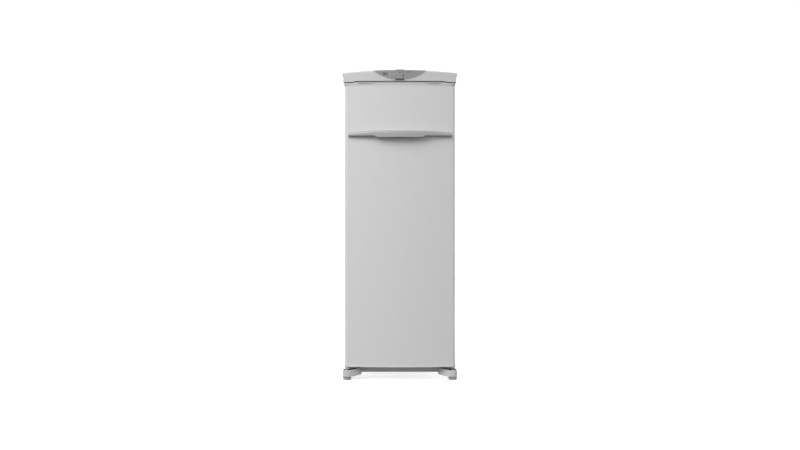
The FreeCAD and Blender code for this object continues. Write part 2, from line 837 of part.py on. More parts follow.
def levelling_foot(label, side):
    """Round pad with a threaded stem, drawn plain."""
    body = piece(label)
    bulge = d.pad_round * QUARTER_SAGITTA
    revolve(body, [(0, 0), (d.pad_radius - d.pad_round, 0, -bulge), (d.pad_radius, d.pad_round),
                   (d.pad_radius, d.pad_height), (d.stem_radius, d.pad_height), (d.stem_radius, STEM_TOP),
                   (0, STEM_TOP)])
    return place(body, side * PAD_X, DOOR_EDGE - d.foot_front + d.pad_y, 0)


# Door.

def door_outline(half, front, back):
    return [(-half, back), (-half, front, -d.door_bow), (half, front), (half, back)]


def door_block(label, half, front, back, low, high, corner):
    """Bowed slab with rounded upright front corners."""
    body = piece(label)
    pad(body, "XY", low, [door_outline(half, front, back)], high - low)
    round_edges(body, corner, lambda box: lies(box, half, front) or lies(box, -half, front))
    return body


def door_skin():
    outer = door_block("door_skin_outside", DOOR_HALF, DOOR_EDGE, DOOR_BACK, SKIN_LOW, SKIN_HIGH,
                       d.door_round)
    inner = door_block("door_skin_inside", DOOR_HALF - d.sheet_steel, DOOR_EDGE + d.sheet_steel,
                       DOOR_BACK + OVERCUT, SKIN_LOW - OVERCUT, SKIN_HIGH + OVERCUT,
                       d.door_round - d.sheet_steel)
    return cut("door_skin", outer, inner)


def door_foam():
    plate = DOOR_BACK - d.liner_wall
    body = door_block("door_foam", DOOR_HALF - d.sheet_steel, DOOR_EDGE + d.sheet_steel, plate,
                      SKIN_LOW, SKIN_HIGH, d.door_round - d.sheet_steel)
    pad(body, "XZ", plate, [dyke_outline(d.liner_wall)], d.dyke_height)
    return body


def dyke_outline(inset):
    half = DYKE_HALF - inset
    return rect(-half, LINER_FLOOR + d.rail_width + inset, half, LINER_TOP - d.rail_width - inset)


def door_liner():
    """Formed inner door with a raised dyke and one shallow groove for each compartment."""
    body = piece("door_liner")
    half = DOOR_HALF - d.sheet_steel
    plate = DOOR_BACK - d.liner_wall
    pad(body, "XZ", plate, [rect(-half, SKIN_LOW, half, SKIN_HIGH)], d.liner_wall)
    pad(body, "XZ", DOOR_BACK, [dyke_outline(0)], d.dyke_height)
    tip = DOOR_BACK + d.dyke_height
    round_edges(body, d.dyke_round, lambda box: lies(box, y=tip))
    pocket(body, "XZ", plate, [dyke_outline(d.liner_wall)], d.dyke_height)
    grooves = []
    width = DYKE_HALF - 2 * d.rail_width
    for number in range(1, LEVELS):
        grooves.append(rect(-width, level(number) - d.dyke_groove, width, level(number)))
    pocket(body, "XZ", tip - d.groove_depth, grooves, 2 * d.groove_depth)
    return body


def door_gasket():
    """Seal frame in three layers: foot, narrow bellows and magnet bead."""
    body = piece("door_gasket")
    depth = (d.seal_gap - SEAT) / 3
    for layer, inset in enumerate((0, d.seal_width / 4, d.seal_width / 12)):
        outer = SEAL_OUTER - inset
        inner = SEAL_OUTER - d.seal_width + inset
        low = SKIN_LOW + d.seal_margin
        high = SKIN_HIGH - d.seal_margin
        frame = [rect(-outer, low + inset, outer, high - inset),
                 rect(-inner, low + d.seal_width - inset, inner, high - d.seal_width + inset)]
        pad(body, "XZ", DOOR_BACK + layer * depth, frame, depth)
    return body


def cap_scoop(side):
    """Shallow crescent in the front of the top cap, as deep all along the bow."""
    label = "scoop_left" if side < 0 else "scoop_right"
    body = piece(label + "_outline")
    middle = side * SCOOP_X
    high = SKIN_HIGH + d.scoop_margin + d.scoop_height
    start = DOOR_APEX - 2 * d.trim_proud
    crescent = [(middle - d.scoop_half, high, -d.scoop_height), (middle + d.scoop_half, high)]
    pad(body, "XZ", start, [crescent], DOOR_BACK - start)
    floor = door_block(label + "_floor", TRIM_HALF, DOOR_EDGE - d.trim_proud + d.scoop_depth,
                       DOOR_BACK + OVERCUT, SKIN_HIGH - OVERCUT, DOOR_TOP, d.door_round)
    return cut(label, body, floor)


def door_top_cap():
    """End cap with a raised middle that follows the lower edge of the top cover, and two scoops."""
    high = DOOR_TOP + d.trim_rise
    front = DOOR_EDGE - d.trim_proud
    body = door_block("cap_form", TRIM_HALF, front, DOOR_BACK, SKIN_HIGH, high,
                      d.door_round + d.trim_reach)
    for side in (-1, 1):
        end = [(side * (TRIM_HALF + OVERCUT), DOOR_TOP), (side * (TRIM_FLAT + d.trim_ramp), DOOR_TOP),
               (side * TRIM_FLAT, high), (side * TRIM_FLAT, high + OVERCUT),
               (side * (TRIM_HALF + OVERCUT), high + OVERCUT)]
        pocket(body, "XZ", DOOR_APEX - 2 * d.trim_proud, [end], DOOR_BACK - DOOR_APEX + 3 * d.trim_proud)
    pocket(body, "XY", SKIN_HIGH - OVERCUT, [(HINGE_X, HINGE_Y, d.bush_radius)], d.trim_height + 2 * OVERCUT)
    return cut("door_top_cap", body, cap_scoop(-1), cap_scoop(1))


def door_bottom_cap():
    front = DOOR_EDGE - d.trim_proud
    body = door_block("door_bottom_cap", TRIM_HALF, front, DOOR_BACK, DOOR_BOTTOM, SKIN_LOW,
                      d.door_round + d.trim_reach)
    behind = DOOR_BACK.value - TOUCH
    round_edges(body, d.trim_edge, lambda box: lies(box, z=DOOR_BOTTOM) and box.YMin < behind)
    pocket(body, "XY", DOOR_BOTTOM - OVERCUT, [(HINGE_X, HINGE_Y, d.bush_radius)],
           d.trim_height + 2 * OVERCUT)
    return body


def hinge_bush(label, low, high, lip_low):
    body = piece(label)
    bore = d.pin_radius + SEAT
    pad(body, "XY", low, [(HINGE_X, HINGE_Y, d.bush_radius), (HINGE_X, HINGE_Y, bore)], high - low)
    pad(body, "XY", lip_low, [(HINGE_X, HINGE_Y, d.bush_flange), (HINGE_X, HINGE_Y, bore)], d.bush_lip)
    return body


def hinge_bushes():
    upper = hinge_bush("bush_upper", SKIN_HIGH, DOOR_TOP, DOOR_TOP)
    lower = hinge_bush("bush_lower", DOOR_BOTTOM, SKIN_LOW, DOOR_BOTTOM - d.bush_lip)
    return group("hinge_bushes", [upper, lower])


def fair_sagitta(half, bulge, width, depth):
    """Sagitta of an arc that goes on without a kink from the end of a bulge to a point beyond it."""
    slope = bulge / half
    cosine = (1 - slope * slope) / (1 + slope * slope)
    sine = 2 * slope / (1 + slope * slope)
    chord = (width * width + depth * depth).root()
    return chord / 2 * (sine * width - cosine * depth) / (chord + cosine * width + sine * depth)


def handle():
    """Bow-shaped handle: a bulge with a finger grip open below, swept out flat to both ends."""
    body = piece("handle_form")
    half = HANDLE_HALF
    flat = d.handle_flat
    wide = d.handle_wide
    tip = DOOR_EDGE - d.handle_tip
    root = DOOR_EDGE + d.handle_round
    low = HANDLE_LOW - d.handle_lip
    end_top = HANDLE_LOW + d.handle_end
    top = end_top + d.handle_crown
    neck = HANDLE_FRONT + d.handle_bulge
    sweep_in = fair_sagitta(wide, d.handle_bulge, half - wide, tip - neck)
    plan = [(-half, root), (-half, tip, sweep_in), (-wide, neck, -d.handle_bulge), (wide, neck, sweep_in),
            (half, tip), (half, root)]
    pad(body, "XY", low, [plan], top - low)
    start = HANDLE_FRONT - OVERCUT
    through = root - HANDLE_FRONT + 2 * OVERCUT
    bulge = d.handle_crown / 4
    for side in (-1, 1):
        shoulder = [(flat, top + OVERCUT), (flat, top, bulge), (half, end_top),
                    (half + OVERCUT, end_top), (half + OVERCUT, top + OVERCUT)]
        pocket(body, "XZ", start, [mirrored(shoulder, side)], through)
        under = [(d.grip_half, low - OVERCUT), (d.grip_half, low), (d.grip_half + d.grip_slope, HANDLE_LOW),
                 (half + OVERCUT, HANDLE_LOW), (half + OVERCUT, low - OVERCUT)]
        pocket(body, "XZ", start, [mirrored(under, side)], through)
    bow = d.handle_bulge * d.grip_half * d.grip_half / (wide * wide)
    wall = HANDLE_FRONT + d.grip_wall + bow
    grip = [(-d.grip_half, DOOR_APEX - d.grip_back), (-d.grip_half, wall, -bow), (d.grip_half, wall),
            (d.grip_half, DOOR_APEX - d.grip_back)]
    pocket(body, "XY", low - OVERCUT, [grip], top - d.grip_ceiling - low + OVERCUT)
    front = tip.value + TOUCH
    upper = end_top.value - TOUCH
    round_edges(body, d.handle_round, lambda box: box.YMax < front and box.ZMin > upper)
    round_edges(body, d.handle_edge, lambda box: box.YMax < front and lies(box, z=HANDLE_LOW))
    seat = door_block("handle_seat", DOOR_HALF, DOOR_EDGE, DOOR_BACK, SKIN_LOW, SKIN_HIGH, d.door_round)
    return cut("handle", body, seat)


# Top cover and controls.

def crowned_block(label, inset, low):
    """Block under a crowned top, bowed in front like the door, shrunk by the inset."""
    body = piece(label)
    half = COVER_HALF - inset
    edge = COVER_EDGE - inset
    front = DOOR_APEX + inset
    start = front - OVERCUT
    pad(body, "XZ", start, [[(-half, low), (-half, edge, d.cover_crown), (half, edge), (half, low)]],
        CABINET_BACK - inset - start)
    bow_front(body, half, inset, low)
    nose = DOOR_EDGE + inset
    round_edges(body, d.cover_round - inset,
                lambda box: box.ZMin > edge.value - TOUCH and box.YMax < nose.value + TOUCH)
    return body


def bow_front(body, half, inset, low):
    """Cut that gives a block the door's bow in front."""
    wide = half + OVERCUT
    nose = DOOR_EDGE + inset
    tip = DOOR_APEX + inset - 2 * OVERCUT
    pocket(body, "XY", low - OVERCUT, [[(-wide, nose, -d.door_bow), (wide, nose), (wide, tip), (-wide, tip)]],
           TAB_TOP - low + 2 * OVERCUT)


def cover_solid():
    """Outside of the cover: crowned, lipped at the sides, stepped along its lower edge."""
    body = piece("cover_solid")
    low = d.cabinet_top
    lip = COVER_EDGE - d.lip_height
    wide = COVER_HALF + d.cover_lip
    start = DOOR_APEX - OVERCUT
    front = [(-COVER_HALF, low), (-COVER_HALF, lip), (-wide, lip), (-wide, COVER_EDGE, d.cover_crown),
             (wide, COVER_EDGE), (wide, lip), (COVER_HALF, lip), (COVER_HALF, low)]
    pad(body, "XZ", start, [front], CABINET_BACK - start)
    bow_front(body, wide, size(0), low)
    round_edges(body, d.cover_round,
                lambda box: box.ZMin > COVER_EDGE.value - TOUCH and box.YMax < DOOR_EDGE.value + TOUCH)
    ramp = TRIM_FLAT + d.trim_ramp
    rise = [(-ramp, low - OVERCUT), (-ramp, low), (-TRIM_FLAT, low + d.trim_rise),
            (TRIM_FLAT, low + d.trim_rise), (ramp, low), (ramp, low - OVERCUT)]
    pocket(body, "XZ", start - OVERCUT, [rise], CABINET_FRONT - start)
    return body


def lens_prism(label, gap):
    """Lens outline seen from the front, open to the top, from the front to the lens depth."""
    body = piece(label)
    half = d.lens_half - gap
    high = TAB_TOP + OVERCUT
    low = LENS_TIP
    outline = [(-half, low, -(LENS_TIP - LENS_LOW - gap)), (half, low), (half, high), (-half, high)]
    start = DOOR_APEX - 2 * OVERCUT
    pad(body, "XZ", start, [outline], d.lens_depth + 2 * OVERCUT - gap)
    return body


def top_cover():
    hollow = crowned_block("cover_hollow", d.cover_wall, COVER_FLOOR)
    lens = lens_prism("lens_opening", 0)
    side = COVER_HALF - d.cover_wall
    well = block("cover_well", (-side, CABINET_FRONT + d.cover_wall, d.cabinet_top - OVERCUT),
                 (side, CABINET_BACK - d.cover_wall, COVER_FLOOR + OVERCUT))
    slot = block("hinge_slot", (HINGE_X - d.plate_width - SEAT, HINGE_Y - d.plate_nose - SEAT,
                                d.cabinet_top - OVERCUT),
                 (HINGE_X + d.plate_nose + SEAT, CABINET_FRONT + d.cover_wall + OVERCUT,
                  d.cabinet_top + d.hinge_plate + d.screw_cap + SEAT))
    return cut("top_cover", cover_solid(), hollow, lens, well, slot)


def button_places():
    """Name, place across and height of each push button."""
    return (("button_freeze", d.freeze_x, LENS_LOW + d.freeze_rise),
            ("button_power", d.power_x, LENS_LOW + d.power_rise))


def light_places():
    return [-d.light_radius + number * d.light_pitch for number in range(3)]


def control_lens():
    """Wrap-over insert with openings for the display, buttons and lights, and a tab on top."""
    outer = crowned_block("lens_outside", -d.lens_proud, COVER_FLOOR)
    inner = crowned_block("lens_inside", d.lens_wall, COVER_FLOOR - OVERCUT)
    form = common("lens_form", outer, lens_prism("lens_fit", d.lens_gap))
    hollow = cut("lens_shell", form, inner)
    crown = COVER_EDGE + d.cover_crown
    tab = block("lens_tab", (-d.tab_half, DOOR_APEX - d.lens_proud, crown - d.lens_wall),
                (d.tab_half, DOOR_APEX + d.tab_depth, TAB_TOP))
    tools = [window_prism("display_opening", SEAT)]
    start = DOOR_APEX - 3 * OVERCUT
    for _, x, z in button_places():
        tools.append(rod("button_opening", (x, start, z), (0, 1, 0), d.button_radius + SEAT, d.tab_depth))
    for x in light_places():
        tools.append(rod("light_opening", (x, start, LIGHT_Z), (0, 1, 0), d.light_radius + SEAT, d.tab_depth))
    tools.append(block("lens_notch", (-d.tab_half, start, NOTCH_LOW),
                       (d.tab_half, DOOR_APEX - d.lens_proud + d.notch_depth, NOTCH_HIGH)))
    return cut("control_lens", fuse("lens_with_tab", [hollow, tab]), *tools)


def window_prism(label, gap):
    half = d.display_width / 2 + gap
    tall = d.display_height / 2 + gap
    return block(label, (d.display_x - half, DOOR_APEX - 3 * OVERCUT, DISPLAY_Z - tall),
                 (d.display_x + half, DOOR_APEX + d.tab_depth, DISPLAY_Z + tall))


def display_window():
    face = crowned_block("display_face", SEAT - d.lens_proud, COVER_FLOOR)
    return common("display_window", window_prism("display_form", 0), face)


def indicator_lights():
    front = DOOR_APEX - d.lens_proud
    lights = [rod("light", (x, front, LIGHT_Z), (0, 1, 0), d.light_radius, d.tab_depth)
              for x in light_places()]
    return group("indicator_lights", lights)


def push_button(label, x, z):
    """Round button with a slightly rounded face, pressed inward."""
    body = piece(label)
    front = d.button_depth
    edge = d.button_radius / 6
    revolve(body, [(0, 0), (d.button_radius, 0), (d.button_radius, front - edge),
                   (d.button_radius - edge, front), (0, front)])
    turn = FreeCAD.Rotation(FreeCAD.Vector(0, 0, 1), FreeCAD.Vector(0, -1, 0))
    return place(body, x, DOOR_APEX - d.button_proud + d.button_depth, z, turn)


def control_board():
    """Board on edge on the floor of the cover, with a connector and a driver."""
    half = d.board_width / 2
    front = DOOR_APEX + d.board_setback
    low = COVER_FLOOR
    back = front + d.board_sheet
    board = block("board", (-half, front, low), (half, back, low + d.board_height))
    quarter = d.board_height / 4
    parts = [board]
    for place_x, wide in ((-half / 2, quarter * 3), (half / 3, quarter * 2)):
        parts.append(block("chip", (place_x, back, low + quarter),
                           (place_x + wide, back + quarter, low + 2 * quarter)))
    return fuse("control_board", parts)


# Hinges.

def screw_spots():
    back = CABINET_FRONT + d.plate_reach / 2
    return [(HINGE_X - d.plate_width / 6 - number * d.plate_width / 3, back) for number in range(3)]


def top_hinge_plate():
    body = piece("top_hinge_plate")
    left = HINGE_X - d.plate_width
    right = HINGE_X + d.plate_nose
    nose = HINGE_Y - d.plate_nose
    back = CABINET_FRONT + d.plate_reach
    edge = CABINET_FRONT + d.plate_nose
    plan = [(HINGE_X - d.plate_nose, HINGE_Y, -d.nose_bulge), (right, HINGE_Y), (right, back), (left, back),
            (left, edge), (HINGE_X - d.plate_nose, HINGE_Y + d.plate_nose)]
    holes = [(HINGE_X, HINGE_Y, d.pin_radius + TOUCH)]
    holes += [(x, y, d.screw_radius + TOUCH) for x, y in screw_spots()]
    pad(body, "XY", d.cabinet_top, [plan] + holes, d.hinge_plate)
    return body


def bottom_hinge_plate():
    body = piece("bottom_hinge_plate")
    left = HINGE_X - d.plate_width
    right = HINGE_X + d.plate_nose
    back = CROSSBAR_FRONT + d.crossbar_depth
    plan = [(HINGE_X - d.plate_nose, HINGE_Y, -d.nose_bulge), (right, HINGE_Y), (right, back), (left, back),
            (left, CROSSBAR_FRONT), (HINGE_X - 2 * d.plate_nose, CROSSBAR_FRONT)]
    pad(body, "XY", d.cabinet_bottom - d.lower_plate, [plan, (HINGE_X, HINGE_Y, d.pin_radius + TOUCH)],
        d.lower_plate)
    return body


def hinge_pins():
    upper_head = d.cabinet_top + d.hinge_plate
    lower_head = d.cabinet_bottom - d.lower_plate - d.screw_cap
    pins = []
    spans = ((SKIN_HIGH + d.bush_lip, upper_head + d.screw_cap, upper_head),
             (lower_head, SKIN_LOW - d.bush_lip, lower_head))
    for low, high, head in spans:
        shank = rod("pin_shank", (HINGE_X, HINGE_Y, low), (0, 0, 1), d.pin_radius, high - low)
        cap = rod("pin_head", (HINGE_X, HINGE_Y, head), (0, 0, 1), d.pin_head, d.screw_cap)
        pins.append(fuse("hinge_pin", [shank, cap]))
    return group("hinge_pins", pins)


def hinge_screws():
    """Three screws through the top hinge plate into the cabinet."""
    screws = []
    for x, y in screw_spots():
        top = d.cabinet_top + d.hinge_plate
        shank = rod("screw_shank", (x, y, top - d.screw_length), (0, 0, 1), d.screw_radius, d.screw_length)
        head = rod("screw_head", (x, y, top), (0, 0, 1), d.screw_head, d.screw_cap)
        slot = block("screw_slot", (x - d.screw_head, y - d.screw_cap / 4, top + d.screw_cap / 2),
                     (x + d.screw_head, y + d.screw_cap / 4, top + d.screw_cap + OVERCUT))
        screws.append(cut("hinge_screw", fuse("screw_form", [shank, head]), slot))
    return group("hinge_screws", screws)


def screw_bores():
    start = d.cabinet_top + d.hinge_plate - d.screw_length - OVERCUT
    rods = [rod("screw_bore", (x, y, start), (0, 0, 1), d.screw_radius + TOUCH, d.screw_length)
            for x, y in screw_spots()]
    return group("screw_bores", rods)


# Inside.

def air_duct_panel():
    """Cover in front of the evaporator with side returns and rows of air slots."""
    body = piece("air_duct_panel")
    half = LINER_SIDE - SEAT
    wall = d.duct_wall
    plan = [(-half, DUCT_FRONT), (half, DUCT_FRONT), (half, LINER_BACK), (half - wall, LINER_BACK),
            (half - wall, DUCT_FRONT + wall), (wall - half, DUCT_FRONT + wall), (wall - half, LINER_BACK),
            (-half, LINER_BACK)]
    pad(body, "XY", STEP_TOP, [plan], LINER_TOP - STEP_TOP)
    slots = []
    gap = 2 * half / (SLOTS_PER_LEVEL + 1)
    for number in range(1, LEVELS):
        low = level(number) + PITCH * 2 / 3
        for column in range(1, SLOTS_PER_LEVEL + 1):
            left = column * gap - half - d.slot_width / 2
            slots.append(rect(left, low, left + d.slot_width, low + d.slot_height))
    pocket(body, "XZ", DUCT_FRONT - OVERCUT, slots, wall + 2 * OVERCUT)
    return body


def glass_shelves():
    half = LINER_SIDE - OVERCUT
    shelves = []
    for number in range(1, LEVELS):
        top = level(number)
        shelves.append(block("glass_shelf", (-half, SHELF_FRONT, top - d.glass + TOUCH),
                             (half, DUCT_FRONT - OVERCUT, top)))
    return group("glass_shelves", shelves)


def shelf_trims():
    """Angle strip along the front edge of every shelf."""
    body = piece("shelf_trims")
    half = LINER_SIDE - OVERCUT
    under = d.glass + SEAT
    angles = []
    for number in range(1, LEVELS):
        top = level(number)
        front = SHELF_FRONT - d.shelf_trim
        angles.append([(front, top - d.trim_depth), (SHELF_FRONT + d.shelf_trim, top - d.trim_depth),
                       (SHELF_FRONT + d.shelf_trim, top - under), (SHELF_FRONT - SEAT, top - under),
                       (SHELF_FRONT - SEAT, top), (front, top)])
    pad(body, "YZ", -half, angles, 2 * half)
    return body


def pull(body, top):
    """Hooked grip across the middle of a front panel."""
    front = DRAWER_FRONT - d.pull_reach
    wall = d.pull_wall
    hook = [(DRAWER_FRONT + wall, top - wall), (front + wall, top - wall),
            (front + wall, top - d.pull_height), (front, top - d.pull_height), (front, top),
            (DRAWER_FRONT + wall, top)]
    pad(body, "YZ", -d.pull_half, [hook], 2 * d.pull_half)


def tub_outline(half, front, back, radius):
    """Plan of a tub, square in front and round at its two rear corners."""
    bulge = -radius * QUARTER_SAGITTA
    return [(-half, front), (half, front), (half, back - radius, bulge), (half - radius, back),
            (radius - half, back, bulge), (-half, back - radius)]


def drawer(number):
    """Open tub with a taller front panel, a rim and a hooked grip."""
    body = piece(f"drawer_{number + 1}")
    low = level(number) + SEAT
    height = PITCH - d.drawer_gap
    back = STEP_FRONT if number == 0 else DUCT_FRONT
    back = back - d.drawer_gap / 2
    half = DRAWER_HALF - d.rim_width
    wall = d.drawer_wall
    front = DRAWER_FRONT + d.drawer_front
    tall = height - d.drawer_drop
    corner = d.drawer_round
    pad(body, "XY", low, [tub_outline(half, front - OVERCUT, back, corner)], tall)
    pad(body, "XY", low + tall - wall,
        [tub_outline(DRAWER_HALF, front - OVERCUT, back + d.rim_width, corner + d.rim_width)], wall)
    pad(body, "XZ", DRAWER_FRONT, [rect(-DRAWER_HALF, low, DRAWER_HALF, low + height)], d.drawer_front)
    pocket(body, "XY", low + wall, [tub_outline(half - wall, front, back - wall, corner - wall)], tall)
    pull(body, low + height - d.pull_drop)
    return body


def flap_axis():
    return DRAWER_FRONT + d.drawer_front / 2, LINER_TOP - d.pivot_drop


def flap():
    """Front of the top compartment on two pivot pins, with a hooked grip near its lower edge."""
    body = piece("flap")
    half = LINER_SIDE - d.pivot_block - OVERCUT
    low = level(LEVELS - 1) + d.flap_margin
    y, z = flap_axis()
    pad(body, "XZ", DRAWER_FRONT, [rect(-half, low, half, z)], d.drawer_front)
    pad(body, "YZ", -half, [(y, z, d.barrel_radius)], 2 * half)
    reach = half + d.pivot_block * 2 / 3
    pad(body, "YZ", -reach, [(y, z, d.pivot_radius)], 2 * reach)
    pull(body, low + d.pull_drop + d.pull_height)
    return body


def flap_pivots():
    """Blocks on the side walls with the bores that the flap's pins turn in."""
    y, z = flap_axis()
    half = d.pivot_size / 2
    blocks = []
    for name, start in (("pivot_left", -LINER_SIDE), ("pivot_right", LINER_SIDE - d.pivot_block)):
        body = piece(name)
        pad(body, "YZ", start, [rect(y - half, z - half, y + half, z + half), (y, z, d.pivot_radius + SEAT)],
            d.pivot_block)
        blocks.append(body)
    return group("flap_pivots", blocks)


# Evaporator and fan.

def coil_rows():
    """Depth and height of every straight pass, up one column and down the other."""
    columns = (FIN_Y - d.coil_columns / 2, FIN_Y + d.coil_columns / 2)
    heights = [FIN_LOW + d.fin_height / 2 + (row - (COIL_ROWS - 1) / 2) * d.coil_pitch
               for row in range(COIL_ROWS)]
    return [(columns[0], z) for z in heights] + [(columns[1], z) for z in heights[::-1]]


def evaporator_fins():
    """Stack of thin plates with a hole for every pass of the coil."""
    body = piece("fin_plate")
    plate = rect(DUCT_FRONT + 2 * d.duct_wall, FIN_LOW, LINER_BACK - SEAT, FIN_LOW + d.fin_height)
    holes = [(y, z, d.coil_radius + SEAT) for y, z in coil_rows()]
    pad(body, "YZ", -FIN_HALF, [plate] + holes, d.fin_sheet)
    doc.recompute()
    step = d.fin_pitch.value
    count = int(2 * FIN_HALF.value / step) + 1
    fins = []
    for number in range(count):
        fin = body.Shape.copy()
        fin.translate(FreeCAD.Vector(number * step, 0, 0))
        fins.append(fin)
    return shaped("evaporator_fins", Part.makeCompound(fins))


def evaporator_coil():
    rows = [(y.value, z.value) for y, z in coil_rows()]
    half = (FIN_HALF + d.fin_pitch / 2).value
    return shaped("evaporator_coil", sweep(winding(rows, half), d.coil_radius))


def defrost_heater():
    low = (FIN_LOW - d.heater_radius - SEAT).value
    half = d.coil_columns.value / 2
    rows = [(FIN_Y.value - half, low), (FIN_Y.value + half, low)]
    return shaped("defrost_heater", sweep(winding(rows, FIN_HALF.value), d.heater_radius))


def fan_bracket():
    """Square plate with a round mouth, four arms and the motor behind it."""
    body = piece("fan_bracket")
    front = DUCT_FRONT + d.duct_wall
    half = d.shroud_half
    mouth = d.fan_radius + d.duct_wall
    wall = d.duct_wall
    back = front + d.fan_length + 2 * d.arm_width
    arm = d.arm_width / 2
    pad(body, "XZ", front, [rect(-half, FAN_Z - half, half, FAN_Z + half), (0, FAN_Z, mouth)], wall)
    for across, up in ((half, arm), (arm, half)):
        pad(body, "XZ", back, [rect(-across, FAN_Z - up, across, FAN_Z + up)], wall)
    legs = []
    inner = half - wall
    for side in (-1, 1):
        legs.append(rect(side * inner, FAN_Z - arm, side * half, FAN_Z + arm))
        legs.append(rect(-arm, FAN_Z + side * inner, arm, FAN_Z + side * half))
    pad(body, "XZ", front, legs, back - front + wall)
    pad(body, "XZ", back, [(0, FAN_Z, d.motor_radius)], d.motor_length)
    pad(body, "XZ", front + d.arm_width, [(0, FAN_Z, d.shaft_radius)], back - front - d.arm_width)
    return body


def blade_section(chord, tilt):
    """Thin slanted rectangle, tilted about the blade's own length."""
    lean = math.radians(tilt.value)
    along = (math.cos(lean), math.sin(lean))
    across = (-along[1], along[0])
    corners = []
    for end, face in ((-0.5, -0.5), (0.5, -0.5), (0.5, 0.5), (-0.5, 0.5)):
        corners.append(tuple(chord * (end * along[k]) + d.blade_sheet * (face * across[k]) for k in range(2)))
    mid = d.fan_length / 2
    return [(y, z + mid) for y, z in corners]


def fan_blade():
    """Hub with a ring of twisted blades."""
    body = piece("fan_blade")
    pad(body, "XY", 0, [(0, 0, d.fan_hub), (0, 0, d.shaft_radius + SEAT)], d.fan_length)
    root = profile(body, "YZ", d.fan_hub - d.blade_sheet, [blade_section(d.blade_chord * 2 / 3, d.fan_tilt)])
    tip = profile(body, "YZ", d.fan_radius, [blade_section(d.blade_chord, d.fan_tilt * 2 / 3)])
    blade = body.newObject("PartDesign::AdditiveLoft", "blade")
    blade.Profile = root
    blade.Sections = [tip]
    doc.recompute()
    ring = body.newObject("PartDesign::PolarPattern", "blades")
    ring.Originals = [blade]
    ring.Axis = ([f for f in body.Origin.OriginFeatures if f.Role == "Z_Axis"][0], [""])
    ring.Angle = 360
    ring.Occurrences = FAN_BLADES
    body.Tip = ring
    turn = FreeCAD.Rotation(FreeCAD.Vector(0, 0, 1), FreeCAD.Vector(0, 1, 0))
    return place(body, 0, DUCT_FRONT + d.duct_wall + d.arm_width, FAN_Z, turn)


# Machine bay.

def compressor_tray():
    """Channel across the bay with an upright front edge, and ears below for the rear rollers."""
    body = piece("compressor_tray")
    wall = d.tray_sheet
    low = TRAY_LOW
    high = BAY_TOP
    inner = STEEL_SIDE - wall
    channel = [(-STEEL_SIDE, low), (STEEL_SIDE, low), (STEEL_SIDE, high), (inner, high), (inner, low + wall),
               (-inner, low + wall), (-inner, high), (-STEEL_SIDE, high)]
    pad(body, "XZ", BAY_FRONT, [channel], BACK_INNER - BAY_FRONT)
    pad(body, "XZ", BAY_FRONT, [rect(-STEEL_SIDE, low, STEEL_SIDE, d.cabinet_bottom)], wall)
    gap = d.roller_width / 2 + OVERCUT
    ear = [rect(ROLLER_Y - d.roller_radius, d.roller_radius / 2, ROLLER_Y + d.roller_radius, low + TOUCH),
           (ROLLER_Y, d.roller_radius, d.axle_radius + SEAT)]
    for side in (-1, 1):
        for start in (side * ROLLER_X - gap - wall, side * ROLLER_X + gap):
            pad(body, "YZ", start, ear, wall)
    return body


def rear_roller(label, side):
    body = piece(label)
    half = d.roller_width / 2
    bore = d.axle_radius + SEAT
    edge = d.roller_width / 10
    revolve(body, [(bore, -half), (d.roller_radius - edge, -half), (d.roller_radius, edge - half),
                   (d.roller_radius, half - edge), (d.roller_radius - edge, half), (bore, half)])
    turn = FreeCAD.Rotation(FreeCAD.Vector(0, 0, 1), FreeCAD.Vector(1, 0, 0))
    return place(body, side * ROLLER_X, ROLLER_Y, d.roller_radius, turn)


def roller_axles():
    axles = []
    gap = d.roller_width / 2 + OVERCUT + d.tray_sheet
    for side in (-1, 1):
        start = (side * ROLLER_X - gap, ROLLER_Y, d.roller_radius)
        shank = rod("axle_shank", start, (1, 0, 0), d.axle_radius, 2 * gap)
        heads = []
        for x in (side * ROLLER_X - gap - d.tray_sheet, side * ROLLER_X + gap):
            heads.append(rod("axle_head", (x, ROLLER_Y, d.roller_radius), (1, 0, 0),
                             d.axle_radius * 3 / 2, d.tray_sheet))
        axles.append(fuse("axle", [shank] + heads))
    return group("roller_axles", axles)


def sole_spots():
    across = d.sole_width / 2 - 2 * d.grommet_radius
    deep = d.sole_depth / 2 - d.grommet_radius
    return [(x, y) for x in (-across, across) for y in (-deep, deep)]


def dome_sagitta():
    """Sagitta of half the dome's arc, with the dome's centre on the can's axis."""
    chord = d.compressor_radius * d.compressor_radius + d.compressor_dome * d.compressor_dome
    sphere = chord / (2 * d.compressor_dome)
    return sphere - (sphere * sphere - chord / 4).root()


def compressor():
    """Welded can with a seam, a sole plate and two line stubs."""
    body = piece("compressor")
    radius = d.compressor_radius
    high = d.compressor_height
    seam = d.seam_height
    bulge = d.compressor_round * QUARTER_SAGITTA
    outline = [(0, 0), (radius - d.compressor_round, 0, -bulge), (radius, d.compressor_round), (radius, seam),
               (radius + d.seam_width, seam), (radius + d.seam_width, seam + d.seam_width),
               (radius, seam + d.seam_width), (radius, high - d.compressor_dome, -dome_sagitta()),
               (0, high)]
    revolve(body, outline)
    sole = [rect(-d.sole_width / 2, -d.sole_depth / 2, d.sole_width / 2, d.sole_depth / 2)]
    sole += [(x, y, d.grommet_radius * 2 / 3 + SEAT) for x, y in sole_spots()]
    pad(body, "XY", d.grommet_height - SEAT, sole, d.sole_sheet)
    for y, z in stub_spots():
        pad(body, "YZ", radius / 2, [(y, z, d.stub_radius)], d.stub_reach - radius / 2)
    return place(body, d.compressor_x, COMPRESSOR_Y, TRAY_TOP + SEAT)


def stub_spots():
    """Offset in depth and height of the suction stub and of the discharge stub."""
    return ((-d.stub_offset, d.seam_height + d.stub_offset), (d.stub_offset, d.seam_height - d.stub_offset))


